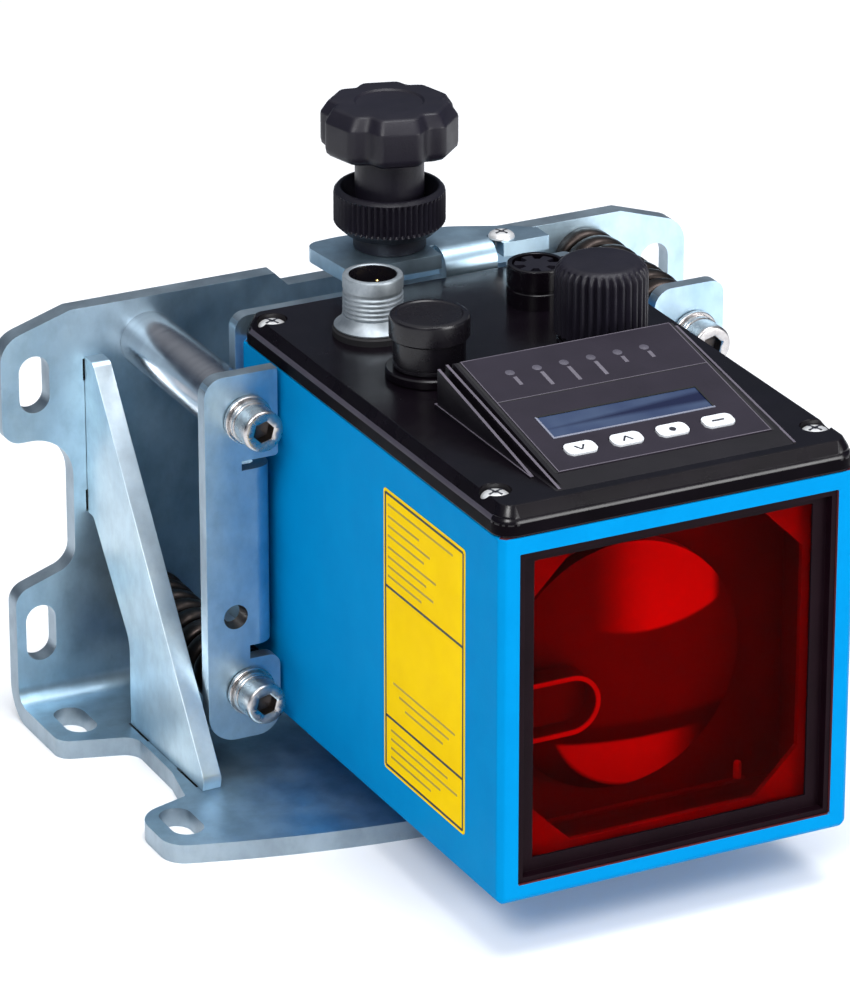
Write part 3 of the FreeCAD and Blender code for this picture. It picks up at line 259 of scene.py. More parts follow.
# Red filter glass, clear through its thickness
def windowGlass():
    tree, shader = startFinish("redGlass", (0.86, 0.010, 0.014), 0.0)
    shader.inputs["Transmission Weight"].default_value = 1.0
    shader.inputs["IOR"].default_value = 1.06
    red = blendColours(tree, cloud(tree, 30.0, 1.0), (0.86, 0.010, 0.014), (0.82, 0.007, 0.010))
    tree.links.new(red, shader.inputs["Base Color"])


# The receiver lens: painted reflections, brightest at the upper right and along the foot, with a painted
# dark band between them.
# A zone is a circle in the lens plane: x, z, radius and how soft its edge is.
lensReflectionZones = {"upper": (4.0, 87.6, 34.0, 0.4), "band": (7.0, 152.4, 121.4, 0.4),
             "dark": (7.0, 152.4, 117.8, 0.8), "foot": (2.4, 41.6, 20.2, 0.5)}


def lensReflectionFinish():
    tree, shader = startFinish("lensPaintedReflections", (0.30, 0.06, 0.06), 0.30)
    x, y, z = coordinates(tree)

    def zone(name):
        centreX, centreZ, radius, edge = lensReflectionZones[name]
        squares = [computed(tree, "POWER", computed(tree, "SUBTRACT", value, middle * mm), 2.0)
                   for value, middle in ((x, centreX), (z, centreZ))]
        reach = computed(tree, "SQRT", computed(tree, "ADD", *squares))
        return ranged(tree, reach, (radius + edge) * mm, (radius - edge) * mm)

    def fade(dark, bright):
        return ranged(tree, x, dark * mm, bright * mm, kind="SMOOTHSTEP")

    def product(total, *values):
        for value in values:
            total = computed(tree, "MULTIPLY", total, value)
        return total

    # Painted reflections: a bright patch at the upper right and a bright crescent along the foot, with a
    # painted dark band between
    upper = product(zone("upper"), fade(-9.5, 5.0), fade(19.6, 17.0))
    below = computed(tree, "SUBTRACT", 1.0, zone("band"))
    lower = product(below, zone("foot"), fade(17.0, 5.0))
    reflectionGap = computed(tree, "SUBTRACT", 1.0, zone("dark"))
    tone = blendColours(tree, cloud(tree, 60.0, 2.0), (0.080, 0.030, 0.030), (0.062, 0.024, 0.024))
    for amount, colour in ((reflectionGap, (0.016, 0.006, 0.006)), (lower, (0.42, 0.40, 0.40)),
                           (upper, (0.52, 0.50, 0.50))):
        tone = blendColours(tree, amount, tone, colour)
    tree.links.new(tone, shader.inputs["Base Color"])
    shader.inputs["Specular IOR Level"].default_value = 0.3


labelFinish()
displayFinish()
windowGlass()
lensReflectionFinish()
print("finishes made:", len(finishes))


# Mesh helpers
# Every piece is placed in the frame's own metres and rides on the CAD body that carries it
def addPiece(name, shape, finishNames, stands=(), body="carriage", sharp=32, even=True):
    mesh = bpy.data.meshes.new(name)
    bmesh.ops.recalc_face_normals(shape, faces=shape.faces)
    shape.to_mesh(mesh)
    shape.free()
    if "custom_normal" in mesh.attributes:
        mesh.attributes.remove(mesh.attributes["custom_normal"])
    for face in mesh.polygons:
        face.use_smooth = True
    mesh.set_sharp_from_angle(angle=math.radians(sharp))
    piece = bpy.data.objects.new(name, mesh)
    scene.collection.objects.link(piece)
    for finishName in finishNames:
        mesh.materials.append(finishes[finishName])
    if even:
        piece.modifiers.new("evenNormals", "WEIGHTED_NORMAL").keep_sharp = True
    if body:
        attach(piece, body)
    if stands:
        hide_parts(*stands)
    return piece


# Thin flat detail: marks, lines and grooves
def addTrim(name, shape, finishName, body="carriage"):
    addPiece(name, shape, (finishName,), body=body, sharp=30, even=False)


# Gives each face one of the piece's finishes, by its centre in millimetres and its normal
def paint(shape, rule):
    for face in shape.faces:
        face.material_index = rule(face.calc_center_median() / mm, face.normal)


def softenEdges(shape, width, steps=2, minimum=30):
    edges = [edge for edge in shape.edges
             if len(edge.link_faces) == 2 and edge.calc_face_angle(0) > math.radians(minimum)]
    bmesh.ops.bevel(shape, geom=edges, offset=width * mm, segments=steps, profile=0.6,
                    affect="EDGES", clamp_overlap=True)


# A CAD solid's faces, with its flat faces made whole
def solidShape(node, change=None):
    shape = bmesh.new()
    shape.from_mesh(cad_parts[node].data)
    if change:
        change(shape)
    bmesh.ops.remove_doubles(shape, verts=shape.verts, dist=2e-6)
    bmesh.ops.dissolve_limit(shape, angle_limit=math.radians(0.6), verts=shape.verts, edges=shape.edges)
    return shape


# A softened stand-in for a CAD solid: the same faces, with small rounded edges
def softened(node, name, finishNames, width=0.3, body="carriage", rule=None, change=None):
    shape = solidShape(node, change)
    if width:
        softenEdges(shape, width, minimum=28)
    paint(shape, rule or (lambda centre, normal: 0))
    addPiece(name, shape, finishNames, (node,), body)


# A turned shape: profile points are (radius, height) in millimetres along an axis.
# shaped(turn, radius, height) can move the radius for ribs, lobes and sockets.
def turnedShape(profile, centre, along=(0, 0, 1), count=64, shaped=None, closed=False, shape=None):
    shape = shape or bmesh.new()
    along = Vector(along).normalized()
    side = along.orthogonal().normalized() if abs(along.z) < 0.9 else Vector((1, 0, 0))
    across = along.cross(side)
    middle = Vector(centre) * mm
    rings = []
    for radius, height in profile:
        base = middle + along * height * mm
        if radius == 0:
            rings.append([shape.verts.new(base)])
            continue
        ring = []
        for i in range(count):
            turn = 2 * math.pi * i / count
            reach = shaped(turn, radius, height) if shaped else radius
            ray = side * math.cos(turn) + across * math.sin(turn)
            ring.append(shape.verts.new(base + ray * reach * mm))
        rings.append(ring)
    pairs = list(zip(rings, rings[1:]))
    if closed:
        pairs.append((rings[-1], rings[0]))
    for low, high in pairs:
        for i in range(count):
            j = (i + 1) % count
            if len(low) == 1 and len(high) == 1:
                continue
            if len(low) == 1:
                shape.faces.new((low[0], high[j], high[i]))
            elif len(high) == 1:
                shape.faces.new((low[i], low[j], high[0]))
            else:
                shape.faces.new((low[i], low[j], high[j], high[i]))
    return shape


# Profile points of a thread: the (radius, rise) points of one turn, again and again
def threaded(start, end, pitch, points):
    profile, z = [], start
    while z < end:
        profile += [(radius, z + rise) for radius, rise in points]
        z += pitch
    return profile


def asIs(u, v, w):
    return (u, v, w)


# A flat shape raised along the third axis: place turns (u, v, w) in millimetres into a point
def raised(corners, low, high, place=asIs, shape=None):
    shape = shape or bmesh.new()
    bottom = [shape.verts.new(Vector(place(u, v, low)) * mm) for u, v in corners]
    top = [shape.verts.new(Vector(place(u, v, high)) * mm) for u, v in corners]
    shape.faces.new(bottom[::-1])
    shape.faces.new(top)
    for i in range(len(corners)):
        j = (i + 1) % len(corners)
        shape.faces.new((bottom[i], bottom[j], top[j], top[i]))
    return shape


def oblong(u, v):
    return [(u[0], v[0]), (u[1], v[0]), (u[1], v[1]), (u[0], v[1])]


def roundedBox(u, v, radius, steps=5):
    corners = []
    for cu, cv, start in ((u[1] - radius, v[0] + radius, -90), (u[1] - radius, v[1] - radius, 0),
                          (u[0] + radius, v[1] - radius, 90), (u[0] + radius, v[0] + radius, 180)):
        for i in range(steps + 1):
            turn = math.radians(start + 90 * i / steps)
            corners.append((cu + radius * math.cos(turn), cv + radius * math.sin(turn)))
    return corners


# Camera at the photograph's angle
cameraSettings = {"place": (-0.4952, -0.9758, 0.5213), "ahead": (0.41387, 0.81969, -0.39604),
                  "up": (0.1785, 0.3535, 0.9183), "lens": 212.2, "height": 36.0, "near": 0.05}
camera = bpy.data.objects.new("camera", bpy.data.cameras.new("camera"))
scene.collection.objects.link(camera)
ahead = Vector(cameraSettings["ahead"]).normalized()
right = ahead.cross(Vector(cameraSettings["up"]).normalized()).normalized()
up = right.cross(ahead)
facing = Matrix((right, up, -ahead)).transposed().to_4x4()
camera.matrix_world = Matrix.Translation(cameraSettings["place"]) @ facing
camera.data.sensor_fit = "VERTICAL"
camera.data.sensor_height = cameraSettings["height"]
camera.data.lens = cameraSettings["lens"]
camera.data.clip_start = cameraSettings["near"]
scene.camera = camera

# Studio: pale floor, soft lamps, a plain graded room
studio = {
    "floor": ((-4000, 4000), (-2500, 6000)), "floorDepth": (-20, 0), "floorRough": 0.85,
    "floorColour": (0.90, 0.90, 0.91), "floorShade": (0.885, 0.885, 0.895),
    "roomLow": (0.068, 0.095, 0.140), "roomHigh": (0.92, 0.95, 1.0), "roomRise": (0.28, 1.0),
    "roomStrength": 0.80,
    "lamps": [
        # name, place, aim, size, watts, colour
        ("keyLamp", (-0.80, -0.90, 1.05), (0.0, -0.02, 0.05), (0.55, 0.55), 15.0, (1.0, 1.0, 1.0)),
        ("topLamp", (0.10, -0.20, 1.25), (0.0, -0.03, 0.07), (0.9, 0.45), 12.0, (0.97, 0.98, 1.0)),
        ("sideLamp", (0.50, -1.05, 0.33), (0.02, -0.02, 0.06), (0.55, 0.42), 8.5, (1.0, 1.0, 1.0)),
    ],
}
floorShape = raised(oblong(*studio["floor"]), *studio["floorDepth"])
floorMesh = bpy.data.meshes.new("floor")
floorShape.to_mesh(floorMesh)
floorShape.free()
floor = bpy.data.objects.new("floor", floorMesh)
scene.collection.objects.link(floor)
tree, shader = startFinish("paperFloor", studio["floorColour"], studio["floorRough"])
paper = blendColours(tree, cloud(tree, 3.0), studio["floorColour"], studio["floorShade"])
tree.links.new(paper, shader.inputs["Base Color"])
floorMesh.materials.append(finishes["paperFloor"])

world = bpy.data.worlds.new("room")
scene.world = world
world.use_nodes = True
room = world.node_tree
background = room.nodes["Background"]
direction = addNode(room, "ShaderNodeTexCoord")
parts = addNode(room, "ShaderNodeSeparateXYZ")
room.links.new(direction.outputs["Generated"], parts.inputs["Vector"])
rise = ranged(room, parts.outputs["Z"], *studio["roomRise"], kind="SMOOTHSTEP")
wall = blendColours(room, rise, studio["roomLow"], studio["roomHigh"])
room.links.new(wall, background.inputs["Color"])
background.inputs["Strength"].default_value = studio["roomStrength"]

for name, place, aim, size, watts, colour in studio["lamps"]:
    lamp = bpy.data.lights.new(name, "AREA")
    lamp.shape = "RECTANGLE"
    lamp.size, lamp.size_y = size
    lamp.energy = watts
    lamp.color = colour
    holder = bpy.data.objects.new(name, lamp)
    holder.location = place
    holder.rotation_euler = (Vector(aim) - Vector(place)).to_track_quat("-Z", "Y").to_euler()
    scene.collection.objects.link(holder)
scene.view_settings.view_transform = "Standard"
print("camera, floor and lamps set")

# Angle bracket and gussets: zinc-plated sheet with duller laser-cut edges
bracketSettings = {"baseTop": 5, "backLow": 7, "bendFront": 34.8, "bendTop": 7.7}


def bracketFace(centre, normal):
    k = bracketSettings
    onBase = abs(normal.z) > 0.9 and centre.z < k["baseTop"]
    onBack = abs(normal.y) > 0.9 and centre.z > k["backLow"]
    inBend = abs(normal.x) < 0.2 and centre.y > k["bendFront"] and centre.z < k["bendTop"]
    return 0 if onBase or onBack or inBend else 1


# Gusset faces take the lighter zinc and the sloped front edges the palest: painted light and a painted
# highlight; the rest are cut edges
def gussetFace(centre, normal):
    return 0 if abs(normal.x) > 0.5 else 2 if normal.y < -0.3 else 1


softened("base_bracket", "angleBracket", ("zincSheet", "zincCutEdge"), 0.45,
         "bracket", bracketFace)
for node, name in (("gusset_left", "leftGusset"), ("gusset_right", "rightGusset")):
    softened(node, name, ("zincGusset", "zincCutEdge", "zincBright"), 0.25,
             "bracket", gussetFace)
softened("pivot_pillar", "pivotPillar", ("turnedSteel",), 0.35, "bracket")
softened("pivot_seat", "pivotSeat", ("turnedSteel",), 0.2, "pivot_ball")

# The mouth of the threaded hole in the left ear is countersunk to the thread's outer size
tappedHole = {"x": -48.8, "z": 36.8, "face": -8.5, "bore": 2.1, "mouth": 2.6}
cradleSettings = {"flangeLow": 93.5, "wallX": 54}


def cradleFace(centre, normal):
    hole, k = tappedHole, cradleSettings
    away = math.hypot(centre.x - hole["x"], centre.z - hole["z"])
    # The threaded hole's bore is painted with dark metal: painted shade inside the hole
    if abs(normal.y) < 0.2 and away < hole["mouth"]:
        return 2
    cut = abs(normal.z) > 0.7 and centre.z < k["flangeLow"]
    outer = abs(normal.x) > 0.9 and abs(centre.x) > k["wallX"]
    return 1 if cut or outer else 0


def countersink(shape):
    k = tappedHole
    grow = k["mouth"] / k["bore"]
    for corner in shape.verts:
        acrossX, acrossZ = corner.co.x / mm - k["x"], corner.co.z / mm - k["z"]
        onFace = abs(corner.co.y / mm - k["face"]) < 0.05
        if onFace and abs(math.hypot(acrossX, acrossZ) - k["bore"]) < 0.1:
            corner.co.x = (k["x"] + acrossX * grow) * mm
            corner.co.z = (k["z"] + acrossZ * grow) * mm


softened("cradle", "bentCradle", ("zincSheet", "zincCutEdge", "screwSocket"), 0.35,
         rule=cradleFace, change=countersink)
softened("hanging_lug", "hangingLug", ("milledAluminium",), 0.3)

# Painted shade: dark fillers in the ends of the slots that the gussets' tabs go through, sunk below both
# faces
slotSettings = {"side": 58.0, "half": 2.33, "edge": 0.1, "baseZ": (0.5, 3.1), "backY": (39.4, 42.0),
                "base": ((-13.45, -4.1), (10.1, 19.45)), "back": {
                    -1: ((43.85, 48.4), (72.6, 77.15)), 1: ((43.85, 48.4), (62.9, 67.45))}}


def makeSlotShade():
    k = slotSettings
    shape = bmesh.new()
    for side in (-1, 1):
        x = (side * k["side"] - k["half"], side * k["side"] + k["half"])
        for run in k["base"]:
            raised(oblong(x, run), *k["baseZ"], asIs, shape)
        for run in k["back"][side]:
            raised(oblong(x, run), *k["backY"], lambda u, v, w: (u, w, v), shape)
    softenEdges(shape, k["edge"], 1)
    addTrim("gussetSlotShade", shape, "sealRubber", "bracket")


makeSlotShade()
print("bracket, gussets and cradle dressed")

# Socket-head screws with a flat washer and a split washer.
# Heights start under the head; the tip's start at the screw's end.
screwSettings = {
    "pivot": (-46.0, 79.0), "lower": (-46.0, 20.4), "upper": (54.0, 79.0), "front": -11.8,
    "hexagon": 2.03, "socketLow": -4.7, "socketReach": 2.28,
    "head": [(0, -1.7), (1.8, -2.4), (2.0, -2.4), (2.0, -4.75), (2.02, -4.76), (2.55, -5.0),
             (3.7, -5.0), (4.1, -4.78), (4.25, -4.4), (4.25, -0.2), (4.05, 0), (2.5, 0)],
    "thread": [(2.5, 0), (2.22, 0.4), (2.5, 0.8)], "tip": [(2.2, -0.5), (1.7, 0), (0, 0)],
    "washers": (
        [(2.62, 1.9), (4.85, 1.9), (5.0, 2.05), (5.0, 2.85), (4.85, 3.0), (2.62, 3.0)],
        [(2.62, 0.02), (4.3, 0.02), (4.45, 0.15), (4.45, 0.75), (4.3, 0.86), (2.62, 0.86)],
        [(2.62, 0.98), (4.3, 0.98), (4.45, 1.1), (4.45, 1.75), (4.3, 1.88), (2.62, 1.88)]),
}


def makeCapScrew(name, node, body, place, length):
    k = screwSettings
    x, z = k[place]

    def hexed(turn, radius, height):
        if height > 0 or radius > k["hexagon"]:
            return radius
        near = (turn + math.pi / 6) % (math.pi / 3) - math.pi / 6
        return radius / math.cos(near)

    def screwFace(centre, normal):
        # The hex socket's inside is painted with dark metal: painted shade in the recess
        deep = k["socketLow"] < centre.y - k["front"] < 0
        return 1 if deep and math.hypot(centre.x - x, centre.z - z) < k["socketReach"] else 0

    profile = k["head"] + threaded(1.0, length - 1.2, 0.8, k["thread"])
    profile += [(radius, length + rise) for radius, rise in k["tip"]]
    shape = turnedShape(profile, (x, k["front"], z), (0, 1, 0), 60, hexed)
    paint(shape, screwFace)
    addPiece(name, shape, ("screwSteel", "screwSocket"), (node,), body, 40)


def makeWasherStack(name, node, body, place):
    x, z = screwSettings[place]
    shape = bmesh.new()
    for profile in screwSettings["washers"]:
        turnedShape(profile, (x, screwSettings["front"], z), (0, 1, 0), 56, closed=True, shape=shape)
    addPiece(name, shape, ("screwSteel",), (node,), body)


makeCapScrew("pivotScrewHead", "pivot_screw", "bracket", "pivot", 22.0)
makeCapScrew("lowerAdjusterScrew", "lower_adjusting_screw", "lower_adjuster", "lower", 55.0)
makeCapScrew("upperAdjusterScrew", "upper_adjusting_screw", "upper_adjuster", "upper", 55.0)
makeWasherStack("pivotWashers", "pivot_washer", "bracket", "pivot")
makeWasherStack("lowerWashers", "lower_adjuster_washer", "lower_adjuster_follower", "lower")
makeWasherStack("upperWashers", "upper_adjuster_washer", "upper_adjuster_follower", "upper")
print("screws and washers made")

# Springs: rounded rectangular wire, nearly closed, flattened at both ends.
springSettings = {"outer": 7.2, "radial": 2.7, "axial": 4.3, "pitch": 5.4, "start": -5.2, "end": 38.5,
                  "steps": 40, "corners": 16, "square": 2.6, "lead": 0.1, "more": 0.2,
                  "sway": 0.10, "swayRate": 2.3}


def makeSpring(name, node, x, z, lean, frontBody, rearBody):
    k = springSettings
    shape = bmesh.new()
    middle = k["outer"] - k["radial"] / 2
    section = []
    for i in range(k["corners"]):
        turn = 2 * math.pi * i / k["corners"]
        cx, cy = math.cos(turn), math.sin(turn)
        grow = (abs(cx) ** k["square"] + abs(cy) ** k["square"]) ** (-1 / k["square"])
        section.append((cx * grow * k["radial"] / 2, cy * grow * k["axial"] / 2))
    turns = (k["end"] - k["start"]) / k["pitch"] + k["more"]
    rings = []
    for i in range(int(turns * k["steps"]) + 1):
        turn = 2 * math.pi * i / k["steps"]
        rise = k["start"] + k["pitch"] * (i / k["steps"] - k["lead"])
        sway = k["sway"] * math.sin(turn / turns * k["swayRate"] + lean)
        ring = []
        for dr, dh in section:
            y = min(max(rise + dh, k["start"]), k["end"])
            reach = middle + dr + sway
            point = (x + reach * math.cos(turn + lean), y, z + reach * math.sin(turn + lean))
            ring.append(shape.verts.new(Vector(point) * mm))
        rings.append(ring)
    for low, high in zip(rings, rings[1:]):
        for i in range(len(section)):
            j = (i + 1) % len(section)
            shape.faces.new((low[i], low[j], high[j], high[i]))
    shape.faces.new(rings[0])
    shape.faces.new(rings[-1][::-1])
    piece = addPiece(name, shape, ("blackenedWire",), (node,), None, 50, even=False)
    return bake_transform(piece)


makeSpring("lowerSpringCoil", "lower_spring", *screwSettings["lower"], 0.4, "carriage", "pivot_ball")
makeSpring("upperSpringCoil", "upper_spring", *screwSettings["upper"], 1.9, "pivot_ball", "bracket")
print("springs made")

# Quick clamp: foot, stud, knurled lock nut and star grip. Nut and grip start at the nut's foot.
clampSettings = {
    "x": 0.0, "y": 20.8, "nutLow": 100.7, "nutRibs": 56, "ribFrom": 11.3, "ribHeights": (1.0, 8.4),
    "ribDepth": 0.8, "gripRadius": 13.65, "gripWaist": 12.0, "lobes": 6, "lobeFrom": 7.2,
    "startAt": 253.0, "flat": 0.985,
    "nut": [(3.05, 0), (8.5, 0), (9.2, 0.2), (11.0, 1.9), (11.33, 2.35), (11.35, 2.6), (11.35, 7.95),
            (11.33, 8.25), (11.2, 8.9), (10.65, 9.55), (10.25, 9.7), (9.95, 9.6), (9.7, 9.2),
            (8.3, 5.3), (3.05, 5.3)],
    "grip": [(0, 7.5), (6.6, 7.5), (7.0, 7.9), (7.0, 16.8), (7.5, 17.3), (11.55, 17.3), (12.75, 17.8),
             (13.45, 18.5), (13.65, 19.5), (13.65, 24.6), (13.53, 25.1), (12.15, 27.15),
             (11.65, 27.45), (11.05, 27.6), (7.1, 27.6), (6.7, 27.25), (0, 27.25)],
}
softened("clamp_foot", "clampFoot", ("turnedSteel",), 0.4, "clamp_slider")
softened("lock_collar", "lockCollar", ("gripBlack",), 0.25, "lock_slider")


def makeStud():
    profile = [(0, 81.6), (2.5, 81.6)] + threaded(82.2, 123.2, 0.8, [(2.98, 0), (2.62, 0.4)])
    profile += [(2.9, 123.9), (0, 123.9)]
    shape = turnedShape(profile, (clampSettings["x"], clampSettings["y"], 0), count=40)
    addPiece("clampStudThread", shape, ("screwSteel",), ("clamp_stud",), "clamp_grip", 40)


def makeLockNut():
    k = clampSettings

    def ribbed(turn, radius, height):
        low, high = k["ribHeights"]
        if radius < k["ribFrom"] or height < low or height > high:
            return radius
        wave = (turn * k["nutRibs"] / (2 * math.pi)) % 1.0
        return radius - k["ribDepth"] * min(1.0, abs(wave - 0.5) * 2.6) ** 1.5

    shape = turnedShape(k["nut"], (k["x"], k["y"], k["nutLow"]), count=k["nutRibs"] * 6,
                        shaped=ribbed, closed=True)
    addPiece("lockNutRing", shape, ("gripBlack",), ("lock_nut",), "lock_ring", 38)


def makeStarGrip():
    k = clampSettings
    first = math.radians(k["startAt"])

    def lobed(turn, radius, height):
        if radius < k["lobeFrom"]:
            return radius
        across = ((turn - first) * k["lobes"] / (2 * math.pi) + 0.5) % 1.0 - 0.5
        away = abs(across) * 2                      # 0 on a lobe's middle, 1 in the valley
        rise = min(max((away - 0.5) / 0.5, 0.0), 1.0)
        drop = (rise * rise * (3 - 2 * rise)) * (k["gripRadius"] - k["gripWaist"])
        flat = 1 / math.cos(min(away, 0.5) * math.pi / k["lobes"]) * k["flat"]
        return radius * flat - drop * radius / k["gripRadius"]

    shape = turnedShape(k["grip"], (k["x"], k["y"], k["nutLow"]), count=144, shaped=lobed)
    addPiece("starGripHead", shape, ("gripBlack",), ("star_grip",), "clamp_grip", 40)


makeStud()
makeLockNut()
makeStarGrip()
print("quick clamp made")

# Housing, window and optics: red-black inside and round the window's mouth
housingSettings = {"insideX": 36.5, "insideY": (-97.2, 9.6), "insideZ": 13.5, "mouthX": 34.2,
                   "mouthY": -96.9, "mouthZ": (15.5, 83.9), "maskBack": 0.2}


def housingFace(centre, normal):
    k = housingSettings
    within = abs(centre.x) < k["insideX"] and k["insideY"][0] < centre.y < k["insideY"][1]
    opening = abs(centre.x) < k["mouthX"] and k["mouthZ"][0] < centre.z < k["mouthZ"][1]
    mouth = opening and centre.y < k["mouthY"] and abs(normal.y) < 0.5
    return 1 if mouth or (within and centre.z > k["insideZ"]) else 0


def setBack(shape):
    bmesh.ops.translate(shape, verts=shape.verts, vec=(0, housingSettings["maskBack"] * mm, 0))


softened("housing", "castHousing", ("bluePaint", "opticBlack"), 0.35, rule=housingFace)
softened("window_frame", "windowFrame", ("windowBlack",), 0.2)
softened("red_window", "windowPane", ("redGlass",), 0.0)
softened("aperture_mask", "apertureMask", ("maskGrey",), 0.08, change=setBack)
softened("lens_carrier", "lensCarrier", ("opticBlack",), 0.2)
softened("sender_barrel", "senderBarrel", ("opticBlack",), 0.2)
softened("circuit_board", "circuitBoard", ("boardGreen",), 0.0)
lensSettings = {"centre": (-2.0, -77.8, 47.0), "radius": 25.5, "rim": 4.0, "bulge": 1.0, "rings": 10}


def makeLens():
    k = lensSettings
    edge = k["radius"]
    profile = [(0, 0), (edge, 0), (edge, -k["rim"])]
    for i in range(1, k["rings"] + 1):
        reach = edge * (1 - i / k["rings"])
        profile.append((reach, -k["rim"] - k["bulge"] * (1 - (reach / edge) ** 2)))
    shape = turnedShape(profile, k["centre"], (0, 1, 0), 96)
    addPiece("receiverLensDisc", shape, ("lensPaintedReflections",), ("receiver_lens",), sharp=40)


# A painted highlight along the rim of the sender's barrel, and behind the glass a small peg and a low ledge
# whose lighter grey is a painted highlight
barrelSettings = {
    "depth": (-89.85, -89.45), "wall": -35.0, "tip": -10.7, "z": 44.9, "outer": 6.1, "inner": 5.2,
    "steps": 16, "pegAt": (21.8, -85.8, 19.7), "ledge": ((-34, 23.5), (-86.4, -85.2)),
    "ledgeZ": (19.1, 19.6), "peg": [(0, 0), (0.8, 0), (0.8, 3.0), (0.6, 3.5), (0, 3.6)],
}


def makeBarrelTrim():
    k = barrelSettings
    shape = bmesh.new()
    rows = []
    for radius in (k["outer"], k["inner"]):
        middle = k["tip"] - k["outer"]
        line = [(k["wall"], k["z"] + radius)]
        for i in range(k["steps"] + 1):
            turn = math.radians(90 - 180 * i / k["steps"])
            line.append((middle + radius * math.cos(turn), k["z"] + radius * math.sin(turn)))
        line.append((k["wall"], k["z"] - radius))
        rows.append([[shape.verts.new(Vector((u, y, v)) * mm) for u, v in line] for y in k["depth"]])
    loop = [rows[0][0], rows[1][0], rows[1][1], rows[0][1]]
    for a, b in zip(loop, loop[1:] + loop[:1]):
        for i in range(len(a) - 1):
            shape.faces.new((a[i], a[i + 1], b[i + 1], b[i]))
    for i in (0, -1):
        shape.faces.new([line[i] for line in loop])
    # The rim strip is light grey: a painted highlight
    addPiece("barrelRim", shape, ("barrelRimGrey",), sharp=35)
    shape = turnedShape(k["peg"], k["pegAt"], count=16)
    raised(oblong(*k["ledge"]), *k["ledgeZ"], asIs, shape)
    # The ledge takes the lighter grey: a painted highlight
    paint(shape, lambda centre, normal: 0 if centre.z > k["ledgeZ"][1] + 0.05 else 1)
    addPiece("floorPeg", shape, ("barrelRimGrey", "ridgeGrey"), sharp=35)


makeLens()
makeBarrelTrim()
print("housing and window made")

# Cover, its screws and its control panel
coverSettings = {
    "halfWidth": 38.0, "front": -101.0, "rear": 11.0, "corner": 4.0, "bevelLow": 91.5, "top": 93.2,
    "skirtTop": 90.4, "lineRound": 0.75, "edge": 0.22, "slopeNormal": 0.455, "slopeArea": 0.0001,
    "lineInset": 4.1, "screws": ((-34.0, -91.2), (34.0, -91.2), (-34.0, 4.6), (34.0, 4.6)),
    "screwZ": 91.25, "screwSize": (2.85, 1.6), "flangeScrew": (22.2, 14.6, 97.5), "flangeSize": (2.7, 1.3),
}


# How far a point is inside the lid's outline, whose corners are round
def insideLid(point):
    k = coverSettings
    acrossX = k["halfWidth"] - abs(point.x)
    acrossY = min(point.y - k["front"], k["rear"] - point.y)
    if acrossX < k["corner"] and acrossY < k["corner"]:
        return k["corner"] - math.hypot(k["corner"] - acrossX, k["corner"] - acrossY)
    return min(acrossX, acrossY)


def lidFace(centre, normal, area):
    k = coverSettings
    rim = k["top"] - k["bevelLow"] + 0.05
    atRim = insideLid(centre) < rim and centre.z > k["skirtTop"] - k["lineRound"] - 2.0
    onSlope = abs(abs(normal.z) - k["slopeNormal"]) < 0.04 and area > k["slopeArea"]
    onLine = abs(normal.x) > 0.75 and centre.z < k["skirtTop"] + 0.8
    between = k["front"] + k["lineInset"] < centre.y < k["rear"] - k["lineInset"]
    if abs(normal.z) < 0.12 and insideLid(centre) < 0.12:
        return 1
    if atRim and onSlope:
        return 2
    # The rounded line's faces on the lid's sides take the lighter black: a painted highlight
    return 3 if atRim and onLine and between else 0


# The lid keeps the solid's form with a steeper bevel, a rounded line under it, lighter on the lid's sides
# as a painted highlight, and a duller skirt
def makeCoverLid():
    k = coverSettings
    shape = solidShape("cover")
    steeper = (k["top"] - k["skirtTop"]) / (k["top"] - k["bevelLow"])
    for corner in shape.verts:
        point = corner.co / mm
        rise = point.z - k["bevelLow"]
        if rise > -0.05 and abs(insideLid(point) - rise) < 0.06:
            corner.co.z = (k["skirtTop"] + rise * steeper) * mm
    line = [edge for edge in shape.edges
            if all(abs(corner.co.z / mm - k["skirtTop"]) < 0.01 and insideLid(corner.co / mm) < 0.05
                   for corner in edge.verts)]
    bmesh.ops.bevel(shape, geom=line, offset=k["lineRound"] * mm, segments=4, profile=0.5,
                    affect="EDGES", clamp_overlap=True)
    softenEdges(shape, k["edge"], minimum=28)
    shape.normal_update()
    for face in shape.faces:
        face.material_index = lidFace(face.calc_center_median() / mm, face.normal, face.calc_area())
    looks = ("coverBlack", "coverSkirt", "coverSlope", "coverEdgeLine")
    addPiece("coverLid", shape, looks, ("cover",))


makeCoverLid()
softened("cover_seal", "coverSeal", ("sealRubber",), 0.0)
softened("control_panel", "panelBody", ("panelGrey",), 0.25)
softened("panel_plate", "panelPlate", ("plateGrey",), 0.12)
softened("display_glass", "displayPane", ("displayBlue",), 0.08)
panelSettings = {
    "foot": -95.3, "base": 93.6, "slope": 10.5, "keys": (-13.5, 9.78), "keyRun": 9.5,
    "keySize": (6.4, 3.8), "keyRound": 1.35, "keyLow": -0.85, "keyHigh": 0.5, "keyEdge": 0.22,
    "ink": 0.03, "dot": 0.7, "faceAt": 0.2, "plateX": (-21.2, 24.2), "plateRun": (3.6, 44.4),
    "divider": 29.0, "groove": 0.35, "border": 0.12, "display": ((-16.6, 17.7), (14.3, 21.9)),
    "lamps": (-13.8, 5.8, 37.9), "marks": (3.0, 4.8, 5.0, 4.9, 2.2, 2.2), "markFrom": 1.6,
    "lamp": [(0, 0.12), (0.55, 0.10), (0.8, 0.02), (0.95, 0.0), (0.95, -0.1), (0, -0.1)],
}
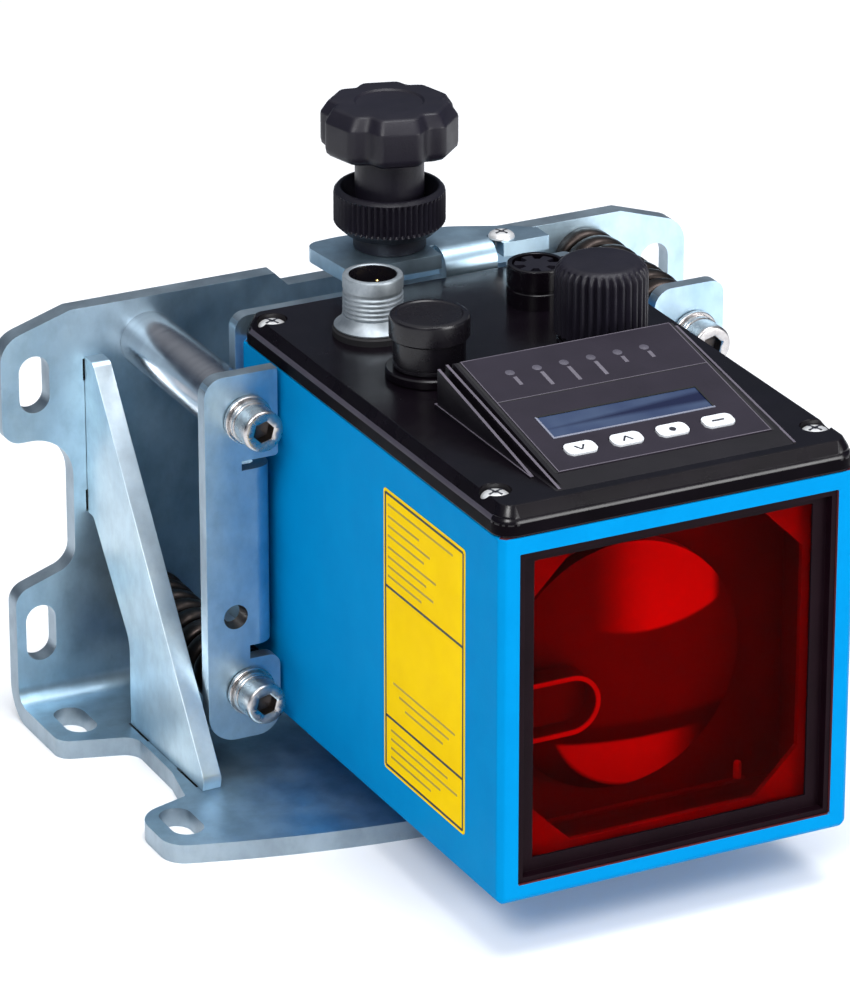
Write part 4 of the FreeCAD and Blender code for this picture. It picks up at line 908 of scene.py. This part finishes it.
# Ridges along the panel's sides: x, run of y, and the height of the top at both ends
ridgeFoot = 93.1
panelRidges = [((-25.6, -25.0), (-89.2, -50.9), (93.35, 100.9)),
               ((-23.85, -23.3), (-96.8, -50.9), (93.4, 101.5)),
               ((26.0, 26.5), (-97.0, -50.9), (93.4, 100.6)),
               ((-25.9, -25.2), (-89.6, -50.2), (93.5, 93.7))]


# A point on the control panel: x, run up the slope, height off its face
def onPanel(x, run, height):
    slope = math.radians(panelSettings["slope"])
    return (x, panelSettings["foot"] + run * math.cos(slope) - height * math.sin(slope),
            panelSettings["base"] + run * math.sin(slope) + height * math.cos(slope))


def makeStroke(shape, start, end, width, low, high, place=onPanel):
    start, end = Vector(start), Vector(end)
    side = (end - start).normalized()
    side = Vector((-side.y, side.x)) * width / 2
    corners = [tuple(start - side), tuple(end - side), tuple(end + side), tuple(start + side)]
    raised(corners, low, high, place, shape)


def makeKey(x, node, body):
    k = panelSettings
    w, h = k["keySize"][0] / 2, k["keySize"][1] / 2
    outline = roundedBox((x - w, x + w), (k["keyRun"] - h, k["keyRun"] + h), k["keyRound"])
    shape = raised(outline, k["keyLow"], k["keyHigh"], onPanel)
    softenEdges(shape, k["keyEdge"], 3, 50)
    name = node.replace("key_", "") + "KeyCap"
    addPiece(name, shape, ("keyWhite",), (node,), body, 35)


# An arrow down, an arrow up, a dot or a dash
def makeKeySign(index, x, body):
    k = panelSettings
    run, low, high = k["keyRun"], k["keyHigh"] - k["ink"], k["keyHigh"] + k["ink"]
    shape = bmesh.new()
    if index in (0, 1):
        tip = -0.75 if index == 0 else 0.75
        makeStroke(shape, (x - 1.0, run - tip), (x, run + tip), 0.38, low, high)
        makeStroke(shape, (x, run + tip), (x + 1.0, run - tip), 0.38, low, high)
    elif index == 2:
        turns = [i * math.pi / 8 for i in range(16)]
        corners = [(x + k["dot"] * math.cos(turn), run + k["dot"] * math.sin(turn)) for turn in turns]
        raised(corners, low, high, onPanel, shape)
    else:
        makeStroke(shape, (x - 1.3, run), (x + 1.3, run), 0.5, low, high)
    addTrim(body.replace("_key", "") + "KeySign", shape, "printBlack", body)


for index, (node, body) in enumerate((("key_down", "down_key"), ("key_up", "up_key"),
                                      ("key_set", "set_key"), ("key_escape", "escape_key"))):
    x = panelSettings["keys"][0] + index * panelSettings["keys"][1]
    makeKey(x, node, body)
    makeKeySign(index, x, body)


# Ridges beside the plate with painted highlights on their tops, a groove and thin painted highlight lines
# round it, a display surround with a painted highlight on its lower and left sides, six small lamps and a
# plain mark for each
def makePanelTrim():
    k = panelSettings
    face = k["faceAt"]
    under = face - 0.05
    ridges, groove, lines, marks = [bmesh.new() for i in range(4)]
    for x, y, top in panelRidges:
        corners = [(y[0], ridgeFoot), (y[1], ridgeFoot), (y[1], top[1]), (y[0], top[0])]
        raised(corners, x[0], x[1], lambda u, v, w: (w, u, v), ridges)
    softenEdges(ridges, 0.12)
    # The ridges' top faces take the lighter grey: a painted highlight
    paint(ridges, lambda centre, normal: 1 if normal.z > 0.3 else 0)
    addPiece("panelRidges", ridges, ("panelGrey", "ridgeGrey"), sharp=40)

    (left, right), (low, high), middle = k["plateX"], k["plateRun"], k["divider"]
    for x in (left - k["groove"], right + k["groove"]):
        makeStroke(groove, (x, low), (x, high), 0.7, -0.1, 0.03)
    makeStroke(groove, (left + 0.2, middle - 0.22), (right - 0.2, middle - 0.22), 0.3, under, face + 0.015)
    addTrim("plateGroove", groove, "sealRubber")
    # Thin lighter lines along the plate's edges and its divider: painted highlights
    makeStroke(lines, (left + 0.2, middle), (right - 0.2, middle), 0.18, under, face + 0.02)
    e = k["border"]
    for a, b in (((left + e, low), (left + e, high)), ((right - e, low), (right - e, high)),
                 ((left, low + e), (right, low + e)), ((left, high - e), (right, high - e))):
        makeStroke(lines, a, b, 0.2, under, face + 0.03)
    addTrim("plateHighlightLines", lines, "ridgeGrey")

    (left, right), (low, high) = k["display"]
    # The surround's lower and left sides are light grey, a painted highlight; its right and top sides are
    # dark
    dark, bright = bmesh.new(), bmesh.new()
    for shape, a, b in ((bright, (left - 0.2, low), (right + 0.2, low)),
                        (dark, (right, low), (right, high)), (dark, (right, high), (left, high)),
                        (bright, (left, high), (left, low))):
        makeStroke(shape, a, b, 0.4, face - 0.4, face + 0.12)
    addTrim("displaySurround", dark, "sealRubber")
    addTrim("displayEdgeHighlight", bright, "edgeGrey")

    first, step, run = k["lamps"]
    slope = Matrix.Rotation(math.radians(k["slope"]), 4, "X")
    for i, length in enumerate(k["marks"]):
        x = first + i * step
        shape = turnedShape(k["lamp"], (0, 0, 0), count=24)
        place = Matrix.Translation(Vector(onPanel(x, run, face)) * mm) @ slope
        bmesh.ops.transform(shape, matrix=place, verts=shape.verts)
        addPiece("statusLamp%d" % (i + 1), shape, ("lampGrey",), sharp=40)
        start = run - k["markFrom"]
        makeStroke(marks, (x + 0.2, start), (x + 0.2, start - length), 0.8, under, face + 0.015)
    addTrim("lampMarks", marks, "markGrey")


# A pan-head screw with a cross slot: every measure is a share of its radius or its rise
def makePanScrew(name, centre, radius, rise):
    profile = [(0, rise * 0.55), (radius * 0.16, rise * 0.55), (radius * 0.24, rise * 0.97)]
    for i in range(1, 8):
        turn = i / 7 * math.pi / 2
        profile.append((radius * (0.24 + 0.76 * math.sin(turn)), rise * (0.12 + 0.86 * math.cos(turn))))
    profile += [(radius, 0), (radius * 0.5, 0), (radius * 0.5, -2.0), (0, -2.0)]
    cross = bmesh.new()

    def onHead(u, v, w):
        return Vector(centre) + Vector((u, v, w))

    # The cross slot is a black stroke set in the head: painted shade for the slot
    reach = radius * 0.58
    for turn in (0.35, 0.35 + math.pi / 2):
        x, y = reach * math.cos(turn), reach * math.sin(turn)
        makeStroke(cross, (-x, -y), (x, y), radius * 0.15, rise * 0.5, rise * 0.985, onHead)
    addTrim(name + "CrossShade", cross, "printBlack")
    addPiece(name, turnedShape(profile, centre, count=40), ("screwBright",), sharp=40)


for i, place in enumerate(coverSettings["screws"]):
    makePanScrew("coverScrew%d" % (i + 1), (*place, coverSettings["screwZ"]), *coverSettings["screwSize"])
makePanScrew("flangeScrew", coverSettings["flangeScrew"], *coverSettings["flangeSize"])
makePanelTrim()
print("cover and panel made")

# Round connectors and their caps, whose heights start at the cover's top.
# The plug's shell and insert start at the top of its gasket.
connectorSettings = {"plug": (-19.5, -11.0), "socket": (17.0, -10.5), "smooth": (-19.5, -35.5),
                     "knurled": (17.2, -37.0), "top": 93.2, "gasketTop": 1.6, "bore": 4.75,
                     "pinAway": 2.6, "tabs": 6, "tabIn": 2.6, "ribs": 34, "ribDepth": 0.85}


def connectorShape(profile, place, rise=0.0, **options):
    return turnedShape(profile, (*connectorSettings[place], connectorSettings["top"] + rise), **options)


def makePlug():
    k = connectorSettings
    x, y = k["plug"]
    rise = k["gasketTop"]
    gasket = connectorShape([(0, 0), (8.0, 0), (8.0, 1.2), (7.6, 1.6), (0, 1.6)], "plug")
    addPiece("plugGasket", gasket, ("sealRubber",), ("plug_gasket",))
    profile = [(4.65, 0.05), (7.5, 0.05), (7.7, 0.2), (7.7, 0.45), (7.1, 0.9), (6.35, 1.7), (6.0, 2.6)]
    profile += threaded(2.7, 7.4, 0.95, [(5.75, 0), (6.0, 0.28), (6.0, 0.55), (5.75, 0.84)])
    profile += [(5.85, 7.9), (6.0, 8.2), (6.0, 10.4), (5.85, 10.75), (5.5, 10.9), (4.95, 10.9),
                (4.75, 10.75), (4.65, 10.5)]
    shell = connectorShape(profile, "plug", rise, count=72, closed=True)
    paint(shell, lambda centre, normal: 1 if math.hypot(centre.x - x, centre.y - y) < k["bore"] else 0)
    addPiece("plugShellRing", shell, ("plugNickel", "capBlack"), ("plug_shell",), sharp=30)
    insert = [(0, 0.02), (4.6, 0.02), (4.6, 2.3), (4.4, 2.6), (0, 2.6)]
    insert = connectorShape(insert, "plug", rise, count=48)
    addPiece("plugInsertDisc", insert, ("gripBlack",), ("plug_insert",))
    pins = bmesh.new()
    for i in range(4):
        turn = 2 * math.pi * (i + 0.5) / 4
        foot = (x + k["pinAway"] * math.cos(turn), y + k["pinAway"] * math.sin(turn), k["top"] + rise + 2.6)
        turnedShape([(0, 0), (0.5, 0), (0.5, 5.5), (0.42, 5.85), (0.22, 6.0), (0, 6.0)], foot,
                    count=16, shape=pins)
    addPiece("plugContacts", pins, ("contactGold",), ("plug_pins",))


def makeSocket():
    k = connectorSettings
    profile = [(4.9, 0), (6.0, 0), (6.0, 3.3), (5.75, 3.5), (5.75, 3.9), (6.0, 4.1), (6.0, 7.9),
               (5.85, 8.2), (5.65, 8.3), (5.0, 8.3), (4.9, 8.2)]
    shell = connectorShape(profile, "socket", count=72, closed=True)
    addPiece("socketShellRing", shell, ("coverBlack",), ("socket_shell",), sharp=30)

    def castle(turn, radius, height):
        if radius < 3.2 or height < 6.2:
            return radius
        wave = (turn * k["tabs"] / (2 * math.pi)) % 1.0
        return radius if 0.2 < wave < 0.8 else k["tabIn"]

    profile = [(0, 0), (4.85, 0), (4.85, 6.3), (4.6, 6.4), (4.6, 7.7), (4.4, 8.0), (0, 8.0)]
    insert = connectorShape(profile, "socket", count=96, shaped=castle)
    addPiece("socketInsertTabs", insert, ("gripBlack",), ("socket_insert",), sharp=30)


def makeStub(name, node, place):
    profile = [(0, 0), (8.3, 0), (8.6, 0.3), (8.6, 1.7), (8.3, 2.0), (6.0, 2.0)]
    profile += threaded(2.4, 9.4, 1.0, [(5.95, 0), (5.65, 0.5)])
    profile += [(5.8, 10.0), (5.6, 10.2), (0, 10.2)]
    addPiece(name, connectorShape(profile, place), ("coverBlack",), (node,), sharp=30)


def makeSmoothCap():
    profile = [(6.05, 2.1), (6.9, 2.1), (7.1, 2.3), (7.1, 2.9), (6.85, 3.05), (6.85, 3.35), (7.1, 3.5),
               (7.1, 7.9), (7.3, 8.15), (7.75, 8.3), (7.9, 8.5), (7.9, 12.0), (7.65, 12.55),
               (7.2, 12.8), (6.6, 12.8), (6.3, 12.6), (0, 12.55), (0, 11.6), (6.05, 11.6)]
    shape = connectorShape(profile, "smooth", count=72, closed=True)
    addPiece("smoothCapBody", shape, ("capBlack",), ("smooth_cap",),
             "smooth_cap_turner", 30)


def makeKnurledCap():
    k = connectorSettings

    def ribbed(turn, radius, height):
        if radius < 8.15 or height < 2.9:
            return radius
        wave = (turn * k["ribs"] / (2 * math.pi)) % 1.0
        deep = k["ribDepth"] * min(1.0, (radius - 8.1) / 0.8)
        return radius - deep * (0.5 + 0.5 * math.cos(2 * math.pi * wave)) ** 1.6

    profile = [(6.05, 2.1), (8.0, 2.1), (8.1, 2.4), (8.1, 2.9), (9.2, 3.4), (9.2, 15.2), (9.1, 15.8),
               (8.8, 16.5), (8.4, 17.0), (8.1, 17.25), (7.5, 17.6), (6.8, 17.8), (0, 17.8),
               (0, 11.6), (6.05, 11.6)]
    shape = connectorShape(profile, "knurled", count=k["ribs"] * 8, shaped=ribbed, closed=True)
    addPiece("knurledCapBody", shape, ("gripBlack",), ("knurled_cap",),
             "knurled_cap_turner", 38)


makePlug()
makeSocket()
makeStub("smoothCapStub", "smooth_cap_stub", "smooth")
makeStub("knurledCapStub", "knurled_cap_stub", "knurled")
for node, name, body in (("smooth_cap_seal", "smoothCapSeal", "smooth_cap_slider"),
                         ("knurled_cap_seal", "knurledCapSeal", "knurled_cap_slider")):
    softened(node, name, ("sealRubber",), 0.15, body)
makeSmoothCap()
makeKnurledCap()
print("connectors made")

# Label on the sensor's left side: a plain yellow field with dark rules.
# Each plain line: height, start and end from the label's rear edge.
labelSettings = {
    "wall": -38.0, "y": (-87.0, -53.0), "z": (21.0, 80.0), "round": 0.8, "film": 0.10,
    "ruleY": (-86.2, -53.8), "ruleZ": (21.8, 79.2), "dividers": (59.9, 32.5),
    "rule": (0.55, 0.08, 0.125), "line": (0.5, 0.08, 0.115),
    "lines": [(77.0, 1.8, 29.0), (74.6, 1.8, 15.0), (72.6, 1.8, 19.5), (70.6, 1.8, 17.0),
              (68.2, 1.8, 22.0), (66.2, 1.8, 18.0), (64.2, 1.8, 21.0), (62.2, 1.8, 16.0),
              (40.4, 4.0, 30.0), (38.4, 6.5, 27.5), (36.4, 9.0, 25.0), (30.0, 3.0, 27.0),
              (28.1, 3.0, 31.0), (26.2, 3.0, 24.0), (24.3, 3.0, 20.0)],
}


def makeLabel():
    k = labelSettings

    def onSide(u, v, w):
        return (k["wall"] - w, u, v)

    field = raised(roundedBox(k["y"], k["z"], k["round"]), 0.0, k["film"], onSide)
    addTrim("labelField", field, "labelYellow")
    rules, lines = bmesh.new(), bmesh.new()
    corners = oblong(k["ruleY"], k["ruleZ"])
    strokes = list(zip(corners, corners[1:] + corners[:1]))
    strokes += [((k["ruleY"][0], z), (k["ruleY"][1], z)) for z in k["dividers"]]
    for a, b in strokes:
        makeStroke(rules, a, b, *k["rule"], onSide)
    addTrim("labelRules", rules, "printBlack")
    rear = k["y"][1]
    for z, start, end in k["lines"]:
        makeStroke(lines, (rear - start, z), (rear - end, z), *k["line"], onSide)
    addTrim("labelLines", lines, "printFaded")


makeLabel()
print("label made")
